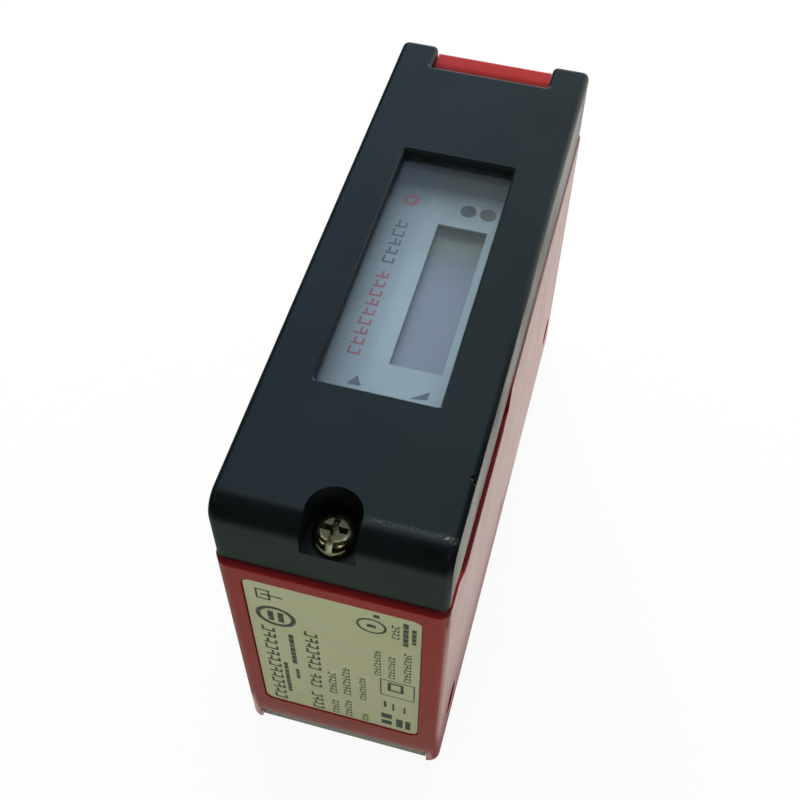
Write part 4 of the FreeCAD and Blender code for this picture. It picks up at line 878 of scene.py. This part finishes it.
@dataclass
class Housing:
    """The die-cast block with its front pane, seal and type label."""

    label_face: float = -44.8
    print_thick: float = -0.03
    strokes_from: float = 0.85
    columns: tuple[Quad, ...] = (
        (-9.44, 35.8, 10.3, 1.9), (-6.29, 34.3, 24.8, 0.7), (-7.77, 24.2, 13.8, 0.6),
        (-6.1, 22.9, 19.6, 0.5), (-3.34, 37.2, 24.6, 1.9), (-3.44, 23.3, 18.4, 1.7),
        (-3.54, 16.2, 10.1, 1.7), (-0.89, 25.3, 17.7, 1.1), (-0.79, 15.3, 10.1, 1.0),
        (1.23, 28.1, 18.4, 1.1), (1.23, 16.4, 10.1, 1.0), (3.59, 26.2, 18.0, 0.9),
        (3.79, 12.9, 10.1, 0.9), (5.9, 36.7, 28.4, 0.9), (7.87, 35.9, 28.4, 0.9),
        (10.08, 38.1, 28.4, 1.0), (8.4, 45.7, 41.6, 1.0), (9.75, 46.7, 40.0, 0.7),
        (10.85, 45.5, 41.1, 0.6),
    )
    solid_fields: tuple[Quad, ...] = (
        (-9.1, -8.3, 37.6, 40.4), (-7.7, -6.9, 37.6, 40.4), (4.6, 5.8, 43.2, 44.0),
        (5.5, 6.3, 46.3, 47.1), (-9.6, -6.6, 44.7, 45.0), (6.29, 7.87, 10.9, 12.3),
        (6.29, 7.87, 13.2, 14.9), (8.55, 9.54, 10.7, 13.8), (9.93, 10.72, 10.7, 13.8),
        (6.69, 7.08, 17.5, 19.6), (7.96, 8.26, 16.7, 19.3), (9.64, 9.93, 16.7, 18.9),
    )
    rings: tuple[Quad, ...] = (
        (-8.0, 39.0, 2.15, 2.8),
        (5.2, 43.6, 1.7, 2.05),
    )
    frames: tuple[tuple[float, float, float, float, float], ...] = (
        (6.2, 11.2, 21.9, 27.5, 0.18),
        (7.3, 9.6, 23.9, 26.8, 0.45),
        (-10.3, -8.3, 43.5, 46.2, 0.28),
    )

    def dress(self) -> None:
        """Finishes the block, the pane, its seal and the label."""
        give(CastPaint(), "housing")
        give(ClearPane("front_pane", srgb(226, 238, 230), srgb(214, 228, 220), 0.06, 1.5, 0.5,
                       srgb(104, 99, 85), (13.25, 44.7)), "front_glass")
        give(Plastic("pane_seal", srgb(28, 28, 28), srgb(52, 52, 50), (0.55, 0.75)), "glass_seal")
        give(Film("label_film", srgb(218, 218, 168), srgb(206, 206, 157), (0.32, 0.45)), "type_label")

    def print_label(self) -> None:
        """Prints plain blocks on the label: columns of strokes or short bars, outlines, fields and rings."""
        words = [stroke_bars(column) if column[3] > self.strokes_from else word_bars(column, seed)
                 for seed, column in enumerate(self.columns)]
        outlines = [frame_bars(*edges) for edges in self.frames]
        plain = bars(np.concatenate((*words, *outlines, np.array(self.solid_fields))))
        corners = np.concatenate((plain, *(ring_plates(*ring) for ring in self.rings)))
        ink = Ink("label_ink", srgb(72, 74, 60), srgb(122, 122, 96)).make()
        stamp("label_print", corners, Axis.ALONG, self.label_face, self.print_thick, ink,
              Body.BASE)


@dataclass
class RearCover:
    """The hinged cover with its window, the captive screw, its retainer and the hinge pin."""

    screw_row: float = -41.5
    screw_recess: float = 60.1
    thread_low: float = 49.35
    thread_high: float = 52.7
    thread_root: float = 1.44
    thread_crest: float = 1.56
    pitch: float = 0.5
    rows_in_turn: int = 10
    around: int = 48

    def dress(self) -> None:
        """Finishes the cover and what it carries."""
        give(MouldedCover(), "rear_cover")
        give(ClearPane("cover_pane", srgb(232, 238, 240), srgb(224, 230, 234), 0.015, 1.49, 0.12),
             "cover_window")
        # The screw head's top gets painted shade round the middle of its recess.
        give(Metal("screw_nickel", srgb(228, 217, 176), srgb(140, 128, 92), (0.14, 0.3),
                   shaded_head_at=(0.0, self.screw_row, self.screw_recess)), "cover_screw")
        give(Plastic("retainer_nylon", srgb(206, 204, 192), srgb(188, 186, 172), (0.4, 0.5)),
             "screw_retainer")
        give(Metal("pin_steel", srgb(196, 196, 194), srgb(150, 150, 148), (0.2, 0.35)), "hinge_pin")

    def cut_thread(self) -> None:
        """Lays the thread round the screw's end: the radius follows a triangle wave of height less turn."""
        turns = (self.thread_high - self.thread_low) / self.pitch
        height = np.linspace(self.thread_low, self.thread_high, int(turns * self.rows_in_turn) + 1)[:, None]
        angle = full_turn(self.around)
        phase = (height / self.pitch - angle / (2 * np.pi)) % 1.0
        ridge = 1.0 - np.abs(2.0 * phase - 1.0)
        ends = np.minimum(height - self.thread_low, self.thread_high - height)
        grown = np.clip(ends / self.pitch, 0.0, 1.0)
        radius = self.thread_root + (self.thread_crest - self.thread_root) * ridge * grown
        points = np.stack(np.broadcast_arrays(
            radius * np.cos(angle), self.screw_row + radius * np.sin(angle), height), -1)
        steel = Metal("screw_thread", srgb(208, 192, 146), srgb(120, 104, 66), (0.22, 0.4)).make()
        faces = tube_faces(len(height), self.around, False)
        new_piece("screw_thread", points, faces, steel, Body.SCREW)


@dataclass
class DisplayPanel:
    """The panel under the window: carrier, foil, display, keys and status lights."""

    foil_top: float = 60.0
    key_top: float = 60.8
    ink_thick: float = 0.03
    word_row: float = -5.45
    word_width: float = 1.75

    def dress(self) -> None:
        """Finishes the panel's nodes."""
        give(Plastic("carrier_plastic", srgb(30, 32, 34), srgb(44, 46, 48), (0.45, 0.6)), "panel_carrier")
        give(Plastic("gasket_rubber", *SEAL_RUBBER), "panel_gasket")
        # The panel film's painted shade: darker towards the far end, darkest under the cover's far frame, and
        # darker towards the left.
        give(Film("panel_film", srgb(182, 194, 200), srgb(167, 179, 186), (0.38, 0.5), 0.15, 8.0, 0.002,
                  ((-6.0, 11.0, 0.68), (15.2, 17.2, 0.5)), ((-1.8, -4.4, 0.84),)), "panel_foil")
        give(DisplayFace(), "oled_display")
        give(Film("key_film", srgb(150, 160, 168), srgb(136, 146, 154), (0.42, 0.55)),
             "key_up", "key_down", "key_escape", "key_enter")
        give(Plastic("green_light", srgb(34, 43, 44), srgb(44, 52, 53), (0.5, 0.62)), "green_light_guide")
        give(Plastic("yellow_light", srgb(40, 44, 45), srgb(50, 53, 53), (0.5, 0.62)), "yellow_light_guide")
        give(BoardLaminate("display_laminate"), "display_board")
        give(Metal("board_screw_steel", *SCREW_STEEL), "display_board_screws")
        give(Metal("dome_steel", srgb(206, 204, 198), srgb(170, 168, 160), (0.15, 0.3)), "key_domes")
        give(Plastic("led_epoxy", srgb(206, 208, 196), srgb(186, 188, 176), (0.12, 0.22)), "status_leds")

    def print_foil(self) -> None:
        """Prints the foil's arrows beyond the keys, a plain ring and two rows of strokes."""
        grey = Ink("foil_grey", srgb(86, 94, 104), srgb(100, 108, 116)).make()
        red = Ink("foil_red", srgb(176, 92, 98), srgb(182, 110, 114)).make()
        arrows = np.array((
            ((-4.8, -20.7), (-2.95, -20.7), (-3.85, -19.1)),
            ((3.6, -20.95), (5.85, -20.6), (5.85, -19.3)),
        ))
        dark = bars(stroke_bars((self.word_row, 9.55, 0.75, self.word_width)))
        warm = bars(stroke_bars((self.word_row, -0.4, -15.9, self.word_width)))
        emblem = ring_plates(-5.4, 13.5, 0.45, 1.15)
        marks = (("foil_arrows", arrows, grey), ("foil_word_grey", dark, grey),
                 ("foil_word_red", np.concatenate((warm, emblem)), red))
        for name, outline, ink in marks:
            stamp(name, outline, Axis.UP, self.foil_top, self.ink_thick, ink, Body.BASE)

    def print_keys(self) -> None:
        """Prints a plain sign on each key: two arrows, a square and a bent arrow."""
        ink = Ink("key_ink", srgb(44, 48, 54), srgb(60, 64, 70)).make()
        up = np.array((((-6.8, -24.8), (-4.4, -24.8), (-5.6, -23.0)),))
        down = np.array((((6.4, -25.2), (6.4, -22.8), (4.6, -24.0)),))
        escape = bars(frame_bars(-6.5, -4.7, -30.6, -28.8, 0.35))
        enter = bars(np.array((
            (4.7, 6.6, -30.5, -30.15), (6.25, 6.6, -30.15, -28.8), (4.5, 4.95, -30.8, -29.85),
        )))
        signs = (("sign_up", up, Body.KEY_UP), ("sign_down", down, Body.KEY_DOWN),
                 ("sign_escape", escape, Body.KEY_ESCAPE), ("sign_enter", enter, Body.KEY_ENTER))
        for name, outline, body in signs:
            stamp(name, outline, Axis.UP, self.key_top, self.ink_thick, ink, body)


@dataclass
class Optics:
    """The lenses, their rings and carrier, the emitter and the receiver behind the front pane."""

    def dress(self) -> None:
        """Finishes the optical nodes."""
        give(Plastic("optics_black", srgb(22, 22, 23), srgb(34, 34, 35), (0.6, 0.8)), "optics_carrier")
        give(LensGlass(), "transmitter_lens", "receiver_lens")
        give(Plastic("ring_black", srgb(30, 30, 31), srgb(46, 46, 47), (0.35, 0.5)),
             "transmitter_lens_ring", "receiver_lens_ring")
        give(Metal("diode_can", srgb(214, 190, 120), srgb(176, 150, 84), (0.18, 0.3)), "laser_diode")
        give(Plastic("sensor_package", srgb(26, 24, 30), srgb(38, 36, 44), (0.15, 0.3)), "receiver_sensor")
        give(BoardLaminate("receiver_laminate"), "receiver_board")
        give(Plastic("receiver_header", srgb(24, 24, 24), srgb(40, 40, 40), (0.4, 0.55)), "receiver_header")
        give(Metal("optics_screw_steel", *SCREW_STEEL), "optics_screws")


@dataclass
class Electronics:
    """The main board and what is soldered or screwed to it."""

    def dress(self) -> None:
        """Finishes the main board's nodes."""
        give(BoardLaminate("main_laminate"), "main_board")
        give(Metal("main_screw_steel", *SCREW_STEEL), "main_board_screws")
        give(Plastic("chip_epoxy", srgb(30, 30, 32), srgb(46, 46, 48), (0.5, 0.65)), "signal_processor")
        give(Metal("capacitor_can", srgb(196, 198, 202), srgb(160, 162, 168), (0.3, 0.45)),
             "power_capacitors")
        give(Plastic("header_black", srgb(22, 22, 22), srgb(38, 38, 38), (0.4, 0.55)), "board_header")


@dataclass
class Plug:
    """The round threaded plug on the hinge end."""

    height: float = 27.0
    bore: float = 4.65
    tail: float = 36.0
    neck: float = 5.8
    flange_near: float = 46.0
    flange_far: float = 48.5
    flange: float = 8.8
    relief: float = 5.4
    relief_far: float = 49.5
    crest: float = 6.0
    tip: float = 58.5
    chamfer: float = 0.5
    depth: float = 0.55
    pitch: float = 1.0
    knurls: int = 60
    knurl_depth: float = 0.12
    edge: float = 0.25
    bore_edge: float = 0.2
    run_out: float = 0.3
    rows_in_turn: int = 12
    around: int = 240

    def dress(self) -> None:
        """Finishes the plug's nodes other than the shell."""
        give(Plastic("plug_seal", *SEAL_RUBBER), "connector_seal")
        give(Metal("plug_nut", srgb(204, 200, 188), srgb(160, 154, 138), (0.22, 0.38)), "connector_nut")
        give(Plastic("plug_insert", srgb(26, 27, 28), srgb(40, 41, 42), (0.4, 0.55)), "connector_insert")
        give(Metal("contact_gold", srgb(222, 180, 96), srgb(196, 150, 70), (0.14, 0.26)), "connector_pins")
        give(BoardLaminate("plug_laminate"), "connector_board")

    def profile(self) -> np.ndarray:
        """The shell's outline from its bore round to its tip, with even rows along the thread.

        Returns:
            Rows of radius and place along the axis.
        """
        steps = int((self.tip - self.chamfer - self.relief_far) / self.pitch * self.rows_in_turn)
        run = np.linspace(self.relief_far, self.tip - self.chamfer, steps)
        return np.array((
            (self.bore, self.tail), (self.neck, self.tail), (self.neck, self.flange_near),
            (self.flange - self.edge, self.flange_near), (self.flange, self.flange_near + self.edge),
            (self.flange, self.flange_far - self.edge), (self.flange - self.edge, self.flange_far),
            (self.relief, self.flange_far), (self.relief, self.relief_far - self.run_out),
            *np.stack((np.full(steps, self.crest), run), -1).tolist(),
            (self.crest - self.chamfer, self.tip), (self.bore + self.bore_edge, self.tip),
            (self.bore, self.tip - self.bore_edge),
        ))

    def turn_shell(self) -> None:
        """Carries the profile round the axis, with waves for the thread and the flange's knurl.

        The thread's radius follows a triangle wave of place and turn, and the rim a fine wave of the angle.
        """
        profile = self.profile()
        radius, place = profile[:, :1], profile[:, 1:]
        angle = full_turn(self.around)
        threaded = (radius == self.crest).astype(float)
        wave = np.abs(2.0 * ((place / self.pitch + angle / (2 * np.pi)) % 1.0) - 1.0)
        grown = np.clip((place - self.relief_far) / self.pitch, 0.0, 1.0)
        cut = threaded * self.depth * np.where(grown < 1.0, 1.0 - grown * (1.0 - wave), wave)
        rim = (radius == self.flange) * self.knurl_depth * (0.5 - 0.5 * np.cos(self.knurls * angle))
        turned = radius - cut - rim
        points = np.stack(np.broadcast_arrays(
            turned * np.cos(angle), place, self.height + turned * np.sin(angle)), -1)
        nickel = Metal("plug_nickel", srgb(206, 204, 196), srgb(186, 183, 173), (0.2, 0.3), (0.2, 3.0, 0.2))
        faces = tube_faces(len(profile), self.around, True)
        shell = new_piece("connector_shell_threaded", points, faces, nickel.make(), Body.BASE)
        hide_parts("connector_shell")


@dataclass
class Studio:
    """White floor, cards for reflections, sky, key lamp and the camera at the photograph's angle."""

    camera_place: Triple = (24.971, -105.878, 180.829)
    camera_look: Triple = (-0.151283, 0.567681, -0.809229)
    camera_up: Triple = (-0.217076, 0.779588, 0.587469)
    camera_lens: float = 52.69
    camera_sensor: float = 36.0
    camera_clip: float = 0.005
    floor_reach: float = 2.0
    floor_level: float = -0.0002
    floor_fade: Quad = (60.0, 300.0, 0.93, 1.0)
    floor_warm: Colour = (0.91, 0.90, 0.83, 1.0)
    floor_dim: Colour = (0.44, 0.42, 0.41, 1.0)
    floor_dark: Colour = (0.25, 0.24, 0.23, 1.0)
    shade_slope: float = 0.05
    shade_edge: Pair = (16.15, 15.85)
    shade_run: Pair = (-20.0, -42.0)
    shade_side: Pair = (14.6, 15.0)
    sky_power: float = 0.37
    sky_tint: Colour = (0.97, 0.99, 1.0, 1.0)
    key_power: float = 8.6
    key_tint: Triple = (0.96, 0.99, 1.0)
    key_place: Triple = (-0.12, 0.60, 0.37)
    key_target: Triple = (0.0, 0.0, 0.06)
    key_size: Pair = (0.8, 0.16)

    def sheet(self, name: str, corner: Triple, across: Triple, along: Triple,
              steps: int = 8) -> bpy.types.Object:
        """A flat sheet: the corner plus shares of two edges on a grid.

        Args:
            name: The object's name.
            corner: First corner in metres.
            across: First edge.
            along: Second edge.
            steps: Quads along each edge.

        Returns:
            The sheet, marked as stage.
        """
        share = np.linspace(0, 1, steps + 1)
        points = corner + share[:, None, None] * np.array(across) + share[None, :, None] * np.array(along)
        row, column = np.meshgrid(np.arange(steps), np.arange(steps), indexing="ij")
        first = row * (steps + 1) + column
        faces = np.stack((first, first + steps + 1, first + steps + 2, first + 1), -1).reshape(-1, 4)
        mesh = bpy.data.meshes.new(name)
        mesh.from_pydata(points.reshape(-1, 3).tolist(), [], faces.tolist())
        made = bpy.data.objects.new(name, mesh)
        bpy.context.scene.collection.objects.link(made)
        return made

    def mirrored(self, sketch: NodeSketch) -> Socket:
        """The floor's colour in reflections: dim in the part's slanting shadow, darkest at the near corner.

        Args:
            sketch: The floor's nodes.

        Returns:
            The colour.
        """
        slant = sketch.math("ADD", sketch.x, sketch.math("MULTIPLY", sketch.y, self.shade_slope))
        shadow = sketch.mix(sketch.rise(sketch.y, *self.shade_run), self.floor_dim, self.floor_dark)
        share = sketch.within((slant, *self.shade_edge), (sketch.x, *self.shade_side))
        return sketch.mix(share, self.floor_warm, shadow)

    def lay_floor(self) -> None:
        """Lays the floor, which keeps the shadow near the object and fades to white further out."""
        reach = self.floor_reach
        floor = self.sheet("floor", (-reach, -reach, self.floor_level), (2 * reach, 0, 0), (0, 2 * reach, 0))
        sketch = NodeSketch("floor_paper")
        grain = sketch.bump(sketch.noise(0.5), 0.01)
        sketch.dress(Base_Color=srgb(246, 246, 246), Roughness=0.9, Normal=grain)
        squares = (sketch.math("MULTIPLY", place, place) for place in (sketch.x, sketch.y))
        far = sketch.math("SQRT", sketch.math("ADD", *squares))
        seen = sketch.rays("Camera", "Glossy", "Transmission")
        share = sketch.math("MULTIPLY", sketch.rise(far, *self.floor_fade), seen)
        colour = sketch.mix(sketch.rays("Camera"), self.mirrored(sketch), WHITE)
        sketch.show(share, sketch.shader, sketch.add("ShaderNodeEmission", {"Color": colour}))
        floor.data.materials.append(sketch.material)

    def card(self, name: str, colour: Colour, corner: Triple, across: Triple, along: Triple) -> None:
        """Hangs a card that is seen in reflections only.

        Args:
            name: The card's name.
            colour: How bright it looks.
            corner: First corner in metres.
            across: First edge.
            along: Second edge.
        """
        made = self.sheet(name, corner, across, along)
        sketch = NodeSketch(name)
        sketch.put(sketch.end, sketch.add("ShaderNodeEmission", {"Color": colour}).outputs[0])
        made.data.materials.append(sketch.material)
        made.visible_camera = False
        made.visible_diffuse = False
        made.visible_shadow = False

    def hang_cards(self) -> None:
        """Hangs black cards in front and at the sides, grey ones at the foot and pale ones overhead."""
        black, grey = srgb(14, 14, 14), srgb(128, 141, 130)
        blue, pale = srgb(150, 176, 204), srgb(162, 178, 184)
        self.card("dark_board", black, (-0.35, -0.42, 0.0), (0.6, 0, 0), (0, 0, 0.62))
        self.card("near_canopy", black, (-0.9, -0.42, 0.62), (1.8, 0, 0), (0, 0.42, 0))
        self.card("blue_canopy", blue, (-0.9, 0.07, 0.62), (0.77, 0, 0), (0, 1.3, 0))
        self.card("pale_canopy", pale, (-0.13, 0.07, 0.62), (1.03, 0, 0), (0, 1.3, 0))
        self.card("dark_apron", black, (-0.35, -0.42, 0.001), (0.6, 0, 0), (0, 0.29, 0))
        self.card("grey_apron", grey, (-0.35, -0.13, 0.001), (0.6, 0, 0), (0, 0.084, 0))
        self.card("right_apron", black, (0.036, -0.046, 0.001), (0.064, 0, 0), (0, 0.121, 0))
        self.card("right_board", black, (0.1, -0.42, 0.0), (0, 0.495, 0), (0, 0, 0.15))
        self.card("left_apron", grey, (-0.35, -0.046, 0.001), (0.333, 0, 0), (0, 0.3, 0))
        self.card("left_board", black, (-0.12, -0.42, 0.0), (0, 0.72, 0), (0, 0, 0.15))

    def light(self) -> None:
        """Sets the sky, white to sight and mirrors and softer to matt surfaces, and the key lamp."""
        world = bpy.data.worlds.new("studio_sky")
        bpy.context.scene.world = world
        sky = NodeTree(world, "World Output")
        shown = sky.tree.nodes["Background"]
        shown.inputs["Color"].default_value = WHITE
        soft = sky.add("ShaderNodeBackground", {"Color": self.sky_tint, "Strength": self.sky_power})
        sky.show(sky.rays("Camera", "Glossy", "Transmission"), soft, shown)
        lamp = bpy.data.lights.new("key_lamp", "AREA")
        lamp.energy = self.key_power
        lamp.shape = "RECTANGLE"
        lamp.size, lamp.size_y = self.key_size
        lamp.color = self.key_tint
        stand = bpy.data.objects.new("key_lamp", lamp)
        stand.location = self.key_place
        stand.visible_glossy = False
        line = Vector(self.key_target) - stand.location
        stand.rotation_euler = line.to_track_quat("-Z", "Y").to_euler()
        bpy.context.scene.collection.objects.link(stand)

    def set_camera(self) -> None:
        """Puts the camera where the photograph was taken."""
        data = bpy.data.cameras.new("photo_camera")
        data.lens = self.camera_lens
        data.sensor_width = self.camera_sensor
        data.clip_start = self.camera_clip
        camera = bpy.data.objects.new("photo_camera", data)
        bpy.context.scene.collection.objects.link(camera)
        look, up = Vector(self.camera_look), Vector(self.camera_up)
        turn = Matrix((look.cross(up), up, -look)).transposed().to_4x4()
        camera.matrix_world = Matrix.Translation(Vector(self.camera_place) * MM) @ turn
        bpy.context.scene.camera = camera
        bpy.context.scene.view_settings.view_transform = "Standard"


def main() -> None:
    """Builds and dresses the sub-assemblies in order, then the studio."""
    logging.basicConfig(level=logging.INFO, format="%(name)s: %(message)s")
    studio = Studio()
    studio.set_camera()
    housing = Housing()
    housing.dress()
    housing.print_label()
    cover = RearCover()
    cover.dress()
    cover.cut_thread()
    panel = DisplayPanel()
    panel.dress()
    panel.print_foil()
    panel.print_keys()
    Optics().dress()
    Electronics().dress()
    plug = Plug()
    plug.dress()
    plug.turn_shell()
    studio.lay_floor()
    studio.hang_cards()
    studio.light()


if __name__ == "__main__":
    main()
